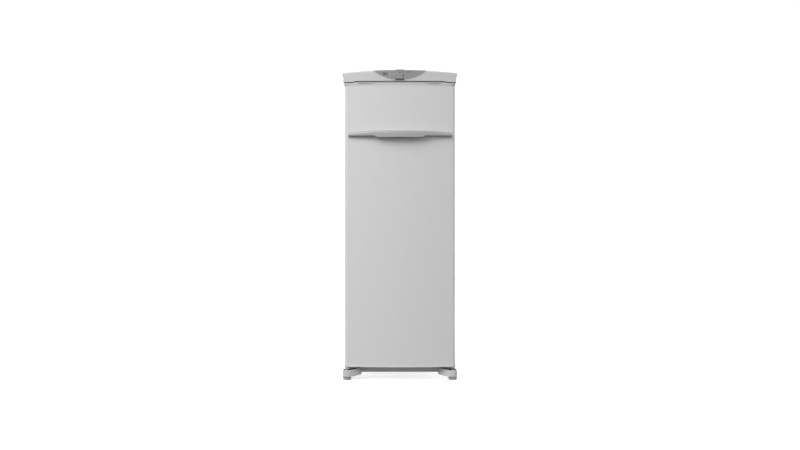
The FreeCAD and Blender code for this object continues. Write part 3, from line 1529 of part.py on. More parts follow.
def compressor_grommets():
    """Rubber feet: a wide base, a neck through the sole plate and a lip above it."""
    grommets = []
    for x, y in sole_spots():
        body = piece("grommet")
        neck = d.grommet_radius * 2 / 3
        sole = d.grommet_height
        over = sole + d.sole_sheet + SEAT
        revolve(body, [(0, 0), (d.grommet_radius, 0), (d.grommet_radius, sole - TOUCH), (neck, sole - TOUCH),
                       (neck, over), (d.grommet_radius, over), (neck, over + d.sole_sheet),
                       (0, over + d.sole_sheet)])
        grommets.append(place(body, d.compressor_x + x, COMPRESSOR_Y + y, TRAY_TOP))
    return group("compressor_grommets", grommets)


def starter_box():
    """Cover for the starter on the can's side, with a gland mouth for a cord."""
    body = piece("starter_box")
    half = d.starter_half
    around = d.compressor_radius + SEAT
    reach = (around * around - half * half).root()
    plan = [(-d.starter_reach, -half), (-reach, -half, around - reach), (-reach, half),
            (-d.starter_reach, half)]
    low = d.seam_height + 2 * d.seam_width
    pad(body, "XY", low, [plan], d.starter_height - 2 * d.seam_width)
    mouth = low + 2 * d.gland_radius
    pad(body, "XZ", half, [(d.gland_radius * 2 - d.starter_reach, mouth, d.gland_radius)], d.gland_radius)
    pocket(body, "XZ", half - d.gland_radius, [(d.gland_radius * 2 - d.starter_reach, mouth, d.cord_radius)],
           2 * d.gland_radius + OVERCUT)
    return place(body, d.compressor_x, COMPRESSOR_Y, TRAY_TOP + SEAT)


def drip_pan():
    body = piece("drip_pan")
    low = COMPRESSOR_TOP + TOUCH
    wall = d.liner_wall
    half = d.pan_width / 2
    deep = d.pan_depth / 2
    corner = d.drawer_round
    pad(body, "XY", low, [rounded(-half, -deep, half, deep, corner)], d.pan_height)
    inside = rounded(wall - half, wall - deep, half - wall, deep - wall, corner - wall)
    pocket(body, "XY", low + wall, [inside], d.pan_height)
    return place(body, d.compressor_x, COMPRESSOR_Y, 0)


# Condenser.

def condenser_high():
    return d.condenser_low + (CONDENSER_PASSES - 1) * d.condenser_pitch


def condenser_foot():
    """Height of the two lower ends of the condenser tube."""
    return d.condenser_low - d.condenser_pitch


def condenser_tube():
    """Riser on one side, then a serpentine that ends low on the other side."""
    y = CONDENSER_Y.value
    half = CONDENSER_HALF.value
    top = condenser_high().value
    bend = d.line_bend.value
    riser = RISER_X.value
    foot = condenser_foot().value
    rows = [(y, top - number * d.condenser_pitch.value) for number in range(CONDENSER_PASSES)]
    corner = FreeCAD.Vector(riser, y, top - bend)
    leave = FreeCAD.Vector(riser - bend, y, top)
    lean = bend * (1 - math.sqrt(0.5))
    middle = FreeCAD.Vector(riser - lean, y, top - lean)
    edges = [Part.LineSegment(FreeCAD.Vector(riser, y, foot), corner).toShape(),
             Part.Arc(corner, middle, leave).toShape(),
             Part.LineSegment(leave, FreeCAD.Vector(half, y, top)).toShape()]
    edges += winding(rows, half)
    low = rows[-1][1]
    end = FreeCAD.Vector(-half, y, low)
    middle = FreeCAD.Vector(lean - half - bend, y, low - lean)
    down = FreeCAD.Vector(-half - bend, y, low - bend)
    edges.append(Part.Arc(end, middle, down).toShape())
    edges.append(Part.LineSegment(down, FreeCAD.Vector(-half - bend, y, foot)).toShape())
    return shaped("condenser_tube", sweep(edges, d.line_radius))


def condenser_wires():
    """Upright wires on both sides of the serpentine."""
    offset = (d.line_radius + d.wire_radius).value + TOUCH
    length = (condenser_high() - d.condenser_low).value + d.condenser_pitch.value / 2
    low = d.condenser_low.value - d.condenser_pitch.value / 4
    half = int(CONDENSER_HALF.value / d.wire_pitch.value - 0.5)
    wires = []
    for side in (-1, 1):
        for number in range(-half, half + 1):
            start = FreeCAD.Vector(number * d.wire_pitch.value, CONDENSER_Y.value + side * offset, low)
            wires.append(Part.makeCylinder(d.wire_radius.value, length, start))
    return shaped("condenser_wires", Part.makeCompound(wires))


def condenser_clips():
    """Spacers between the back panel and the tube, each between two wires."""
    clips = []
    half = d.clip_width / 2
    steps = int(CONDENSER_HALF.value / d.wire_pitch.value / 2)
    for side in (-1, 1):
        x = (side * steps + side * 0.5) * d.wire_pitch
        for pass_number in (1, CONDENSER_PASSES // 2, CONDENSER_PASSES - 2):
            z = d.condenser_low + pass_number * d.condenser_pitch
            clips.append(block("clip", (x - half, CABINET_BACK - d.sheet_steel, z - half),
                               (x + half, CONDENSER_Y - d.line_radius - TOUCH, z + half)))
    return group("condenser_clips", clips)


def drier_x():
    return -CONDENSER_HALF - d.line_bend


def filter_drier():
    body = piece("filter_drier")
    neck = d.line_radius
    cone = d.drier_radius
    high = d.drier_length
    revolve(body, [(0, 0), (neck, 0), (neck, cone), (d.drier_radius, 2 * cone),
                   (d.drier_radius, high - 2 * cone), (neck, high - cone), (neck, high), (0, high)])
    return place(body, drier_x(), CONDENSER_Y, condenser_foot() - d.drier_length)


def refrigerant_lines():
    """Discharge line, suction line and capillary between the bay and the condenser."""
    stub = d.compressor_x + d.stub_reach
    (suction_y, suction_z), (discharge_y, discharge_z) = [
        (COMPRESSOR_Y + y, TRAY_TOP + SEAT + z) for y, z in stub_spots()]
    foot = condenser_foot()
    bend = d.line_bend.value
    discharge = [point(RISER_X, CONDENSER_Y, foot), point(RISER_X, CONDENSER_Y, discharge_z),
                 point(RISER_X, discharge_y, discharge_z), point(stub, discharge_y, discharge_z)]
    suction_x = stub + 3 * d.stub_offset
    suction = [point(suction_x, suction_y, BAY_TOP), point(suction_x, suction_y, suction_z),
               point(stub, suction_y, suction_z)]
    drier_low = foot - d.drier_length
    turn_z = drier_low - 2 * d.line_bend
    capillary = [point(drier_x(), CONDENSER_Y, drier_low), point(drier_x(), CONDENSER_Y, turn_z),
                 point(drier_x(), COMPRESSOR_Y, turn_z), point(drier_x(), COMPRESSOR_Y, BAY_TOP)]
    lines = [bent_line(discharge, bend, d.line_radius), bent_line(suction, bend, d.line_radius * 3 / 2),
             bent_line(capillary, bend, d.line_radius / 2)]
    return shaped("refrigerant_lines", Part.makeCompound(lines))


def build():
    """Every sub-part in order, ready to be written."""
    drain = drain_bore()
    bores = screw_bores()
    pieces = [cabinet_shell(bores), back_panel(), base_pan(drain), cabinet_foam(drain, bores),
              inner_liner(drain), drain_tube(), front_crossbar()]
    for name, side in (("left", -1), ("right", 1)):
        pieces.append(foot_bracket(f"foot_bracket_{name}", side))
        pieces.append(levelling_foot(f"levelling_foot_{name}", side))
        pieces.append(rear_roller(f"rear_roller_{name}", side))
    pieces += [roller_axles(), door_skin(), door_foam(), door_liner(), door_gasket(), door_top_cap(),
               door_bottom_cap(), handle(), hinge_bushes(), top_cover(), control_lens(), display_window(),
               indicator_lights(), control_board()]
    pieces += [push_button(*spot) for spot in button_places()]
    pieces += [top_hinge_plate(), bottom_hinge_plate(), hinge_pins(), hinge_screws()]
    pieces += [air_duct_panel(), glass_shelves(), shelf_trims(), flap(), flap_pivots()]
    pieces += [drawer(number) for number in range(LEVELS - 1)]
    pieces += [evaporator_fins(), evaporator_coil(), defrost_heater(), fan_bracket(), fan_blade()]
    pieces += [compressor_tray(), compressor(), compressor_grommets(), starter_box(), drip_pan()]
    pieces += [condenser_tube(), condenser_wires(), condenser_clips(), filter_drier(), refrigerant_lines()]
    return pieces


def write(pieces):
    doc.recompute()
    failed = [item.Label for item in doc.Objects if "Invalid" in item.State or "Error" in item.State]
    if failed:
        raise RuntimeError(f"did not compute: {failed}")
    os.makedirs("parts", exist_ok=True)
    for item in pieces:
        if item.Shape.isNull() or not item.Shape.isValid():
            raise RuntimeError(f"{item.Label} has no valid shape")
        item.Shape.exportStep(f"parts/{item.Label}.step")


write(build())
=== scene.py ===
# %% [markdown]
# # A tall freezer with one door
#
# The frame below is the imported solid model: every sheet, foam block, drawer and pipe of the freezer,
# in metres and already in its place. This lesson dresses it. Each step says what the piece or the
# finish is on the real freezer, how it could be made, and why it is made this way here.

# %% Load the frame
import json
import math
import bpy
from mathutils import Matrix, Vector


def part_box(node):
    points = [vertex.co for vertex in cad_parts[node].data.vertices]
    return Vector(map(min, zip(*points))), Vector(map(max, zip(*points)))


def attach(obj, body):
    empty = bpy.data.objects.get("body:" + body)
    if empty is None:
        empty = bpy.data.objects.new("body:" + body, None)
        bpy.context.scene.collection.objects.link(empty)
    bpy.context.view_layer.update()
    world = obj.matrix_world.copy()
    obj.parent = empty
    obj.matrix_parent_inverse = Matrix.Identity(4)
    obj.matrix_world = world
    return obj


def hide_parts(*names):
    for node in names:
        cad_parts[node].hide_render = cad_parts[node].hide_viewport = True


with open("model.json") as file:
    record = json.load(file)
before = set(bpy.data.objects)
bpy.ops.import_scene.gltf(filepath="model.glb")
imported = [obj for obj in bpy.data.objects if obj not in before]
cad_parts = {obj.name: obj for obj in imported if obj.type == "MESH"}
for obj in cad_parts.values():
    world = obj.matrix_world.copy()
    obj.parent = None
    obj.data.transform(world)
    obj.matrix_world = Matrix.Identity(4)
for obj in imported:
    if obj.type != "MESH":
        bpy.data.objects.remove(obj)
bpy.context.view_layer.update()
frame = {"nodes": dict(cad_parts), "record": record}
nodes = frame["nodes"]
bpy.ops.object.select_all(action="DESELECT")

# %% [markdown]
# ## Small tools for the finishes
#
# A finish is a graph of nodes. Colours are read off as sRGB hex codes, because that is what a colour
# picker shows, but the shader wants linear light, so one function turns them. A second function adds
# a node with its settings and links, and a third lays a texture out in the piece's own coordinates,
# with its size in millimetres.
#
# Nearly every real surface is two things at once: paint and its ripple, zinc and its crystals, black
# enamel and the dust on it. So each finish below has two layers, and a mask says where the second
# one lies. The same mask moves colour, polish and height, as it does on the real thing.

# %% Colour, node and layer helpers
MM = 0.001


def linear(code):
    """Linear colour of an sRGB hex code."""
    parts = [int(code[k:k + 2], 16) / 255 for k in (0, 2, 4)]
    return [c / 12.92 if c <= 0.04045 else ((c + 0.055) / 1.055) ** 2.4 for c in parts] + [1.0]


def add(material, kind, settings, links={}):
    """One node with its settings, and its sockets joined to outputs of other nodes."""
    node = material.node_tree.nodes.new(kind)
    for name, value in settings.items():
        if isinstance(name, str) and name not in node.inputs:
            setattr(node, name, value)
        else:
            node.inputs[name].default_value = value
    for name, output in links.items():
        material.node_tree.links.new(output, node.inputs[name])
    return node


def texture(material, kind, size, settings={}, stretch=(1, 1, 1)):
    """Texture with features about size millimetres wide; stretch below 1 draws them out along that axis."""
    place = add(material, "ShaderNodeTexCoord", {})
    scaled = add(material, "ShaderNodeMapping", {"Scale": stretch}, {"Vector": place.outputs["Object"]})
    return add(material, kind, {"Scale": 1 / (size * MM), **settings}, {"Vector": scaled.outputs["Vector"]})


COLOUR_A, COLOUR_B, COLOUR_OUT = 6, 7, 2


def layered(name, colours, roughness, mask, settings={}, rise=0):
    """Finish of two layers; mask gives the share of the second, which stands rise millimetres higher."""
    material = bpy.data.materials.new(name)
    material.use_nodes = True
    shader = material.node_tree.nodes["Principled BSDF"]
    for socket, value in settings.items():
        shader.inputs[socket].default_value = value
    share = mask(material)
    tint = add(material, "ShaderNodeMix", {"data_type": "RGBA", COLOUR_A: linear(colours[0]),
                                           COLOUR_B: linear(colours[1])}, {"Factor": share})
    polish = add(material, "ShaderNodeMapRange", {"To Min": roughness[0], "To Max": roughness[1]},
                 {"Value": share})
    material.node_tree.links.new(tint.outputs[COLOUR_OUT], shader.inputs["Base Color"])
    material.node_tree.links.new(polish.outputs["Result"], shader.inputs["Roughness"])
    if rise:
        bump = add(material, "ShaderNodeBump", {"Distance": rise * MM}, {"Height": share})
        material.node_tree.links.new(bump.outputs["Normal"], shader.inputs["Normal"])
    return material


print("helpers ready: linear, add, texture, layered")

# %% [markdown]
# ## Masks
#
# Five masks are enough for the whole freezer. Soft patches stand for ripple, grain and stains, and
# drawn out along one axis they become rolling marks or flow lines. Crystals are the spangle of
# galvanised sheet. Dust gathers where a surface looks up. Cells are the bubbles of rigid foam, and
# tracks are the copper paths under the green lacquer of a circuit board.

# %% Masks
NOISE_REACH = 0.25
EDGE_GAIN = 0.2
DUST_SLOPE = 0.3
TRACK_SHARE = 0.06


def patches(size, clear=0.0, stretch=(1, 1, 1)):
    """Soft patches; clear, from 0 to 1, sharpens their edges."""
    def mask(material):
        noise = texture(material, "ShaderNodeTexNoise", size, {"Detail": 3.0}, stretch)
        reach = NOISE_REACH - EDGE_GAIN * clear
        return add(material, "ShaderNodeMapRange", {"From Min": 0.5 - reach, "From Max": 0.5 + reach},
                   {"Value": noise.outputs["Fac"]}).outputs["Result"]
    return mask


def crystals(size):
    """Flat crystals, each with a share of its own."""
    def mask(material):
        spangle = texture(material, "ShaderNodeTexVoronoi", size).outputs["Color"]
        return add(material, "ShaderNodeSeparateColor", {}, {"Color": spangle}).outputs["Red"]
    return mask


def dust(size):
    """Patches that lie only where the surface looks up."""
    def mask(material):
        facing = add(material, "ShaderNodeNewGeometry", {})
        upward = add(material, "ShaderNodeSeparateXYZ", {}, {"Vector": facing.outputs["Normal"]})
        lying = add(material, "ShaderNodeMapRange", {"From Min": DUST_SLOPE}, {"Value": upward.outputs["Z"]})
        return add(material, "ShaderNodeMath", {"operation": "MULTIPLY"},
                   {0: lying.outputs["Result"], 1: patches(size)(material)}).outputs["Value"]
    return mask


def cells(size):
    """Round bubbles, highest in their middle."""
    return lambda material: texture(material, "ShaderNodeTexVoronoi", size).outputs["Distance"]


def tracks(size):
    """Thin paths between blocks."""
    width = {"Mortar Size": TRACK_SHARE}
    return lambda material: texture(material, "ShaderNodeTexBrick", size, width).outputs["Fac"]


print("masks ready: patches, crystals, dust, cells, tracks")

# %% [markdown]
# ## The painted and moulded outside
#
# Door and cabinet are sheet steel with a baked silver-grey enamel. Baked enamel is never quite flat:
# it dries with a faint orange peel a few millimetres wide, which breaks up reflections. The crowned
# cover, the end caps and the feet are moulded ABS in the same silver, a little duller, because the
# mould is spark-eroded to a fine grain. On the real parts that grain is about 0.2 mm wide. It is
# drawn coarser here, so that it doesn't turn into noise in a picture of the whole freezer.

# %% Outside finishes
finishes = {}


def finish(slot, name, colours, roughness, mask, settings={}, rise=0):
    """Layered finish, kept under its slot of the record."""
    finishes[slot] = layered(name, colours, roughness, mask, settings, rise)


# Orange peel: the soft break in every reflection on door and sides.
finish("silver_paint", "baked_silver_enamel", ("C8C8C8", "CACACA"), (0.44, 0.52), patches(3.5), rise=0.012)
# The crossbar's enamel is a paler copy of the silver one: painted light that lifts it in the door's shade.
finish("grey_paint", "paler_crossbar_enamel_painted_light", ("CCCCCC", "D2D2D2"), (0.46, 0.58), patches(5), rise=0.012)
# Mould grain: takes the shine off the plastic beside the paint.
finish("silver_plastic", "moulded_silver_abs", ("BCBCBC", "C0C0C0"), (0.48, 0.56), patches(1.6), rise=0.01)
# The handle is touched every day, so its grain is polished.
finish("grey_plastic", "satin_grey_abs", ("9C9C9C", "A0A0A0"), (0.3, 0.38), patches(1.6), rise=0.008)
# The insert is printed acrylic: dark, and smooth enough for a faint gleam.
finish("lens_plastic", "printed_acrylic", ("858586", "8A8A8B"), (0.28, 0.36), patches(9))
# Button caps: rubbed by fingers, so each keeps a small soft spot of light.
finish("light_button", "pale_button_abs", ("B0B0B1", "B6B6B7"), (0.26, 0.34), patches(1), rise=0.005)
finish("dark_button", "dark_button_abs", ("4C4D4F", "545557"), (0.26, 0.34), patches(1), rise=0.005)
# Smoked window and lamp caps: the only glossy spots of the front.
finish("display_glass", "smoked_acrylic", ("505356", "5A5D60"), (0.05, 0.1), patches(6))
finish("light_pipe", "lamp_acrylic", ("2C302F", "383C3B"), (0.12, 0.18), patches(2))
print("outside finishes:", sorted(finishes))

# %% [markdown]
# ## Bare and painted metal
#
# The back panel, the base pan and the compressor's tray are galvanised: zinc freezes on the steel in
# flat crystals as wide as a fingernail, each of which mirrors the light a little differently. The
# compressor and the condenser are stove-enamelled black, and since nobody wipes behind a freezer,
# dust lies on all that looks up. Copper pipes leave the torch with brown stains on them. Sheet
# aluminium keeps the fine lines of the rolls that made it.

# %% Metal finishes
METAL = {"Metallic": 1.0}
# Spangle: a patchwork of greys that shifts from crystal to crystal.
finish("zinc_steel", "galvanised_sheet", ("8B8F92", "A2A6A8"), (0.38, 0.54), crystals(11), METAL)
# Grey bloom on the dome and on each wire, black below.
finish("black_steel", "black_stove_enamel", ("141516", "6A6762"), (0.34, 0.85), dust(18), rise=0.02)
# Plating: bright, with faint wiping marks.
finish("bright_steel", "plated_steel", ("B4B5B6", "CACBCC"), (0.2, 0.32), patches(4), METAL)
# Rolling lines: highlights are drawn out across them.
finish("aluminium", "rolled_aluminium", ("C4C6C8", "DCDDDF"), (0.26, 0.4),
       patches(1, stretch=(1, 1, 0.05)), METAL)
# Stains: brown islands on salmon-pink pipe.
finish("copper", "tarnished_copper", ("C98663", "7B4A34"), (0.24, 0.5), patches(22, 0.7), METAL)
print("metal finishes:", len(finishes), "so far")

# %% [markdown]
# ## Inside plastics, glass, rubber and foam
#
# The liner is one sheet of white polystyrene, drawn over a mould by vacuum, so its gloss wanders
# where the sheet was stretched. The drawers are clear polystyrene with a breath of blue, and faint
# flow lines run up from the gate where the plastic came in. The shelves are toughened glass, greener
# at their edges. Seal, grommets and rollers are duller than all of these.

# %% Inside finishes
# Stretch marks: the gloss of the liner comes and goes.
finish("white_plastic", "vacuum_formed_polystyrene", ("D4D7D8", "DADCDD"), (0.28, 0.4),
       patches(30), rise=0.006)
# Flow lines: upright streaks that bend what is seen through the drawer.
finish("clear_plastic", "clear_blue_polystyrene", ("F1F7FB", "E4F0F8"), (0.03, 0.09),
       patches(16, stretch=(1, 1, 0.12)), {"IOR": 1.49, "Transmission Weight": 1.0}, rise=0.01)
# Clean glass: clear from the front, green where it is looked through lengthwise.
finish("shelf_glass", "toughened_glass", ("E4F3EC", "DCEEE6"), (0.01, 0.04),
       patches(60), {"IOR": 1.52, "Transmission Weight": 1.0})
# Talc from the extruder: a pale bloom on grey vinyl.
finish("seal_rubber", "extruded_grey_vinyl", ("999A9C", "A0A1A2"), (0.5, 0.62), patches(3), rise=0.004)
# Bloom: rubber has hardly any shine, only a greyish haze.
finish("black_rubber", "moulded_black_rubber", ("101011", "262627"), (0.65, 0.85),
       patches(2), {"Specular IOR Level": 0.15}, rise=0.03)
# Waxy black with a grey film where dust has settled.
finish("black_plastic", "black_polypropylene", ("18191A", "5E5C58"), (0.45, 0.85), dust(12), rise=0.02)
# Bubbles: a crumbly, sugary surface.
finish("rigid_foam", "polyurethane_foam", ("D2BA82", "E8D6A6"), (0.85, 0.95), cells(2.5), rise=0.4)
# Tracks: thin light-green paths under the lacquer.
finish("circuit_board", "green_solder_mask", ("1B5231", "2F7A4B"), (0.24, 0.34), tracks(14), rise=0.03)
print("all finishes:", len(finishes))

# %% [markdown]
# ## Give every node its finish
#
# The record says which slot each node belongs to, so one loop dresses the whole frame. Clear pieces
# throw no shadow: light would reach the inside through them only by rare bent rays, and the drawers
# would look as if they stood in the dark.

# %% Dress the nodes
CLEAR_SLOTS = ("clear_plastic", "shelf_glass")
for part in frame["record"]["subparts"]:
    skin = nodes[part["node"]].data.materials
    skin.clear()
    skin.append(finishes[part["material_slot"]])
    nodes[part["node"]].visible_shadow = part["material_slot"] not in CLEAR_SLOTS

# %% [markdown]
# ## Tools for new pieces
#
# Every new piece is shaped in edit mode and then settled the same way: its place goes into its mesh,
# soft edges are smoothed, it is told which body carries it, and it takes a finish from the record's
# slots. Parts of one moulding are joined before that. What repeats is modelled once and copied, and
# each copy keeps a mesh of its own, because it is carried and finished on its own.

# %% Piece helpers
MERGE = 0.01 * MM


def only(*pieces):
    """Object mode, with nothing selected but these pieces; the last one is active."""
    if bpy.context.mode != "OBJECT":
        bpy.ops.object.mode_set(mode="OBJECT")
    bpy.ops.object.select_all(action="DESELECT")
    for piece in pieces:
        piece.select_set(True)
        bpy.context.view_layer.objects.active = piece


def box(name, low, high):
    """Block between two corners, its place in its mesh."""
    only()
    low, high = Vector(low), Vector(high)
    bpy.ops.mesh.primitive_cube_add(size=1, location=(low + high) / 2, scale=high - low)
    piece = bpy.context.object
    piece.name = name
    bpy.ops.object.transform_apply(location=True, rotation=True, scale=True)
    return piece


def cylinder(sides, radius, length, place=(0, 0, 0), turn=(0, 0, 0)):
    """Upright cylinder about a place, turned by degrees, its place in its mesh."""
    only()
    bpy.ops.mesh.primitive_cylinder_add(vertices=sides, radius=radius, depth=length, location=place,
                                        rotation=[math.radians(angle) for angle in turn])
    piece = bpy.context.object
    bpy.ops.object.transform_apply(location=True, rotation=True, scale=True)
    return piece


# A face looks along an axis when at least this share of its normal lies along it.
FACING = 0.9


def choose(piece, faces=None, edges=None):
    """Edit mode with those faces (centre, normal) or edges (end, end) selected that pass a test, or all."""
    only(piece)
    mesh = piece.data
    bpy.context.tool_settings.mesh_select_mode = (False, edges is not None, edges is None)
    for group in (mesh.vertices, mesh.edges, mesh.polygons):
        group.foreach_set("select", [False] * len(group))
    if edges:
        for edge in mesh.edges:
            edge.select = edges(*(mesh.vertices[v].co for v in edge.vertices))
    else:
        for face in mesh.polygons:
            face.select = faces is None or faces(face.center, face.normal)
    bpy.ops.object.mode_set(mode="EDIT")


def pull(*offset):
    """Extrude what is selected by an offset."""
    bpy.ops.mesh.extrude_region_move(TRANSFORM_OT_translate={"value": offset})


def joined(name, *pieces):
    """One object out of several."""
    only(*pieces)
    bpy.ops.object.join()
    piece = bpy.context.object
    piece.name = name
    return piece


def copies(first, places, turns=()):
    """Copies in a model's stead, at places and turned about the depth axis, each with its own mesh."""
    only()
    made = []
    for number, place in enumerate(places):
        copy = first.copy()
        copy.data = first.data.copy()
        bpy.context.collection.objects.link(copy)
        copy.location = place
        copy.rotation_euler.y = turns[number] if turns else 0
        made.append(copy)
    bpy.data.objects.remove(first)
    return made


def closed(piece):
    """Edit mode with doubles merged, open ends filled and faces turned outwards, as a spun mesh needs."""
    choose(piece)
    bpy.ops.mesh.remove_doubles(threshold=MERGE)
    bpy.ops.mesh.fill_holes(sides=0)
    bpy.ops.mesh.normals_make_consistent(inside=False)


def apply_modifier(piece, kind, **settings):
    """Modifier added with its settings and applied at once."""
    only(piece)
    modifier = piece.modifiers.new(kind.lower(), kind)
    for name, value in settings.items():
        setattr(modifier, name, value)
    bpy.ops.object.modifier_apply(modifier=modifier.name)


def settle(piece, body, slot, angle=35):
    """Finished piece: smooth, carried by a body, in a slot's finish."""
    only(piece)
    bpy.ops.object.transform_apply(location=True, rotation=True, scale=True)
    bpy.ops.object.shade_smooth_by_angle(angle=math.radians(angle))
    piece.data.materials.clear()
    piece.data.materials.append(finishes[slot])
    piece.visible_shadow = slot not in CLEAR_SLOTS
    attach(piece, body)
    print(piece.name, "has", len(piece.data.polygons), "faces and rides on", body)


# %% [markdown]
# ## Door seal
#
# The seal is an extruded vinyl frame: a flat foot that is pressed into the door, a folded bellows
# that gives when the door shuts, and a tube on top with a magnetic strip in it. The four corners are
# cut at 45 degrees and welded. A flat frame is inset out of one plane, so it has those corners from
# the start, and each fold of the bellows is one more extrusion, moved in or out.

# %% Bellows seal
SEAL_WIDTH = 22 * MM
# Each fold: how far it rises, and how far it stands in from the edges of the foot, in millimetres.
SEAL_FOLDS = ((1.2, 0.0), (0.3, 4.0), (1.4, 6.2), (1.2, 6.2), (1.3, 3.2), (1.2, 1.2), (0.7, 0.6), (1.5, 0.6),
              (0.8, 1.6))
low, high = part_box("door_gasket")
middle = (low + high) / 2
bpy.ops.mesh.primitive_plane_add(size=1, location=(middle.x, low.y, middle.z),
                                 rotation=(math.radians(-90), 0, 0))
seal = bpy.context.object
seal.scale = (high.x - low.x, high.z - low.z, 1)
bpy.ops.object.transform_apply(location=True, rotation=True, scale=True)
seal.name = "bellows_seal"
choose(seal)
bpy.ops.mesh.inset(thickness=SEAL_WIDTH)
bpy.ops.mesh.delete(type="ONLY_FACE")
choose(seal)
for rise, inset in SEAL_FOLDS:
    pull(0, rise * MM, 0)
    bpy.ops.object.mode_set(mode="OBJECT")
    for vertex in (v for v in seal.data.vertices if v.select):
        for axis in (0, 2):
            near_low = vertex.co[axis] < middle[axis]
            edge = low[axis] if near_low else high[axis]
            inward = 1 if near_low else -1
            outer = abs(vertex.co[axis] - edge) < SEAL_WIDTH / 2
            vertex.co[axis] = edge + inward * (inset * MM if outer else SEAL_WIDTH - inset * MM)
    bpy.ops.object.mode_set(mode="EDIT")
closed(seal)
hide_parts("door_gasket")
settle(seal, "door", "seal_rubber", angle=50)

# %% [markdown]
# ## Drawers
#
# The drawers are injection-moulded in clear polystyrene: a thin tub with a folded rim, tapered so that
# it leaves the mould, and a taller front panel, stiffened by ribs, with a hooked grip. The panel is a
# block with round corners whose face is inset and cut into bands, and every other band is pulled out.
# The tub is a block without lid and front, with its upper edge folded out and down, that Solidify
# gives a wall. The parts of a drawer are joined, so that it moves as one piece, and four of the five
# drawers are copies of one.

# %% Front panel and grip
PANEL_SHEET = 4 * MM
PANEL_ROUND = 7 * MM
PANEL_BORDER = 9 * MM
FIELD_NEAR = 50 * MM
RIB_PITCH = 13 * MM
RIB_RISE = 2 * MM
GRIP_HALF = 95 * MM
GRIP_REACH = 20 * MM
GRIP_WALL = 2.5 * MM
GRIP_ROUND = 0.8 * MM


def ribbed_panel(low, high):
    """Upright panel between two corners, with round edges and horizontal ribs in a plain border."""
    def field(centre, normal):
        """Faces within the border."""
        return (normal.y < -FACING and abs(centre.x) < FIELD_NEAR
                and low.z + PANEL_BORDER < centre.z < high.z - PANEL_BORDER)

    panel = box("panel", low, high)
    choose(panel, edges=lambda a, b: abs(a.y - b.y) > PANEL_SHEET / 2)
    bpy.ops.mesh.bevel(offset=PANEL_ROUND, segments=5)
    choose(panel, faces=lambda centre, normal: normal.y < -FACING)
    bpy.ops.mesh.inset(thickness=PANEL_BORDER)
    bands = int((high.z - low.z - 2 * PANEL_BORDER) / RIB_PITCH)
    first = (low.z + high.z - bands * RIB_PITCH) / 2
    for number in range(bands + 1):
        bpy.ops.mesh.bisect(plane_co=(0, low.y, first + number * RIB_PITCH), plane_no=(0, 0, 1))
        choose(panel, faces=field)
    choose(panel, faces=lambda centre, normal: field(centre, normal) and centre.z > first
           and int((centre.z - first) / RIB_PITCH) % 2 == 0)
    bpy.ops.mesh.inset(thickness=RIB_RISE)
    pull(0, -RIB_RISE, 0)
    bpy.ops.object.mode_set(mode="OBJECT")
    return panel


def hooked_grip(front, top):
    """Ledge in front of a panel that turns down into a finger hook."""
    hook = front - GRIP_REACH + GRIP_WALL
    grip = box("grip", (-GRIP_HALF, front - GRIP_REACH, top - GRIP_WALL),
               (GRIP_HALF, front - RIB_RISE, top))
    choose(grip, faces=lambda centre, normal: normal.z < -FACING)
    bpy.ops.mesh.bisect(plane_co=(0, hook, 0), plane_no=(0, 1, 0))
    choose(grip, faces=lambda centre, normal: normal.z < -FACING and centre.y < hook)
    pull(0, 0, GRIP_WALL - GRIP_REACH)
    apply_modifier(grip, "BEVEL", width=GRIP_ROUND, segments=3, limit_method="ANGLE")
    return grip


print("panel and grip ready")

# %% Tub and the five drawers
TUB_WALL = 2.5 * MM
TUB_ROUND = 14 * MM
TUB_DROP = 45 * MM
TUB_DRAFT = 0.975
RIM_WIDTH = 6 * MM
RIM_FOLD = 6 * MM
GRIP_DROP = 30 * MM


def open_tub(low, high):
    """Tapered tub, open above and in front, with a folded rim; the corners are those of its walls."""
    tub = box("tub", low, high)
    choose(tub, faces=lambda centre, normal: normal.z < -FACING)
    bpy.ops.transform.resize(value=(TUB_DRAFT, 1, 1))
    choose(tub, edges=lambda a, b: abs(a.z - b.z) > TUB_ROUND and a.y > high.y - MM)
    bpy.ops.mesh.bevel(offset=TUB_ROUND, segments=6)
    choose(tub, faces=lambda centre, normal: normal.z > FACING or normal.y < -FACING)
    bpy.ops.mesh.delete(type="FACE")
    choose(tub, edges=lambda a, b: max(a.z, b.z) < low.z + MM and max(a.y, b.y) > low.y + MM)
    bpy.ops.mesh.bevel(offset=TUB_ROUND / 3, segments=3)
    choose(tub, edges=lambda a, b: min(a.z, b.z) > high.z - MM)
    reach = RIM_WIDTH - TUB_WALL
    wide = (high.x - low.x + 2 * reach) / (high.x - low.x)
    long = (high.y - low.y + reach) / (high.y - low.y)
    bpy.ops.mesh.extrude_edges_move()
    bpy.ops.transform.resize(value=(wide, long, 1), center_override=(0, low.y, high.z))
    bpy.ops.mesh.extrude_edges_move(TRANSFORM_OT_translate={"value": (0, 0, -RIM_FOLD)})
    apply_modifier(tub, "SOLIDIFY", thickness=TUB_WALL, offset=-1, use_even_offset=True)
    return tub


def drawer_basket(node):
    """Tub, grip and panel of one drawer, joined to one moulding."""
    low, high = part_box(node)
    front = low.y + GRIP_REACH
    panel = ribbed_panel(Vector((low.x, front, low.z)), Vector((high.x, front + PANEL_SHEET, high.z)))
    tub = open_tub(Vector((low.x + RIM_WIDTH, front + PANEL_SHEET, low.z)),
                   Vector((high.x - RIM_WIDTH, high.y - RIM_WIDTH, high.z - TUB_DROP)))
    return joined("basket", tub, hooked_grip(front, high.z - GRIP_DROP), panel)


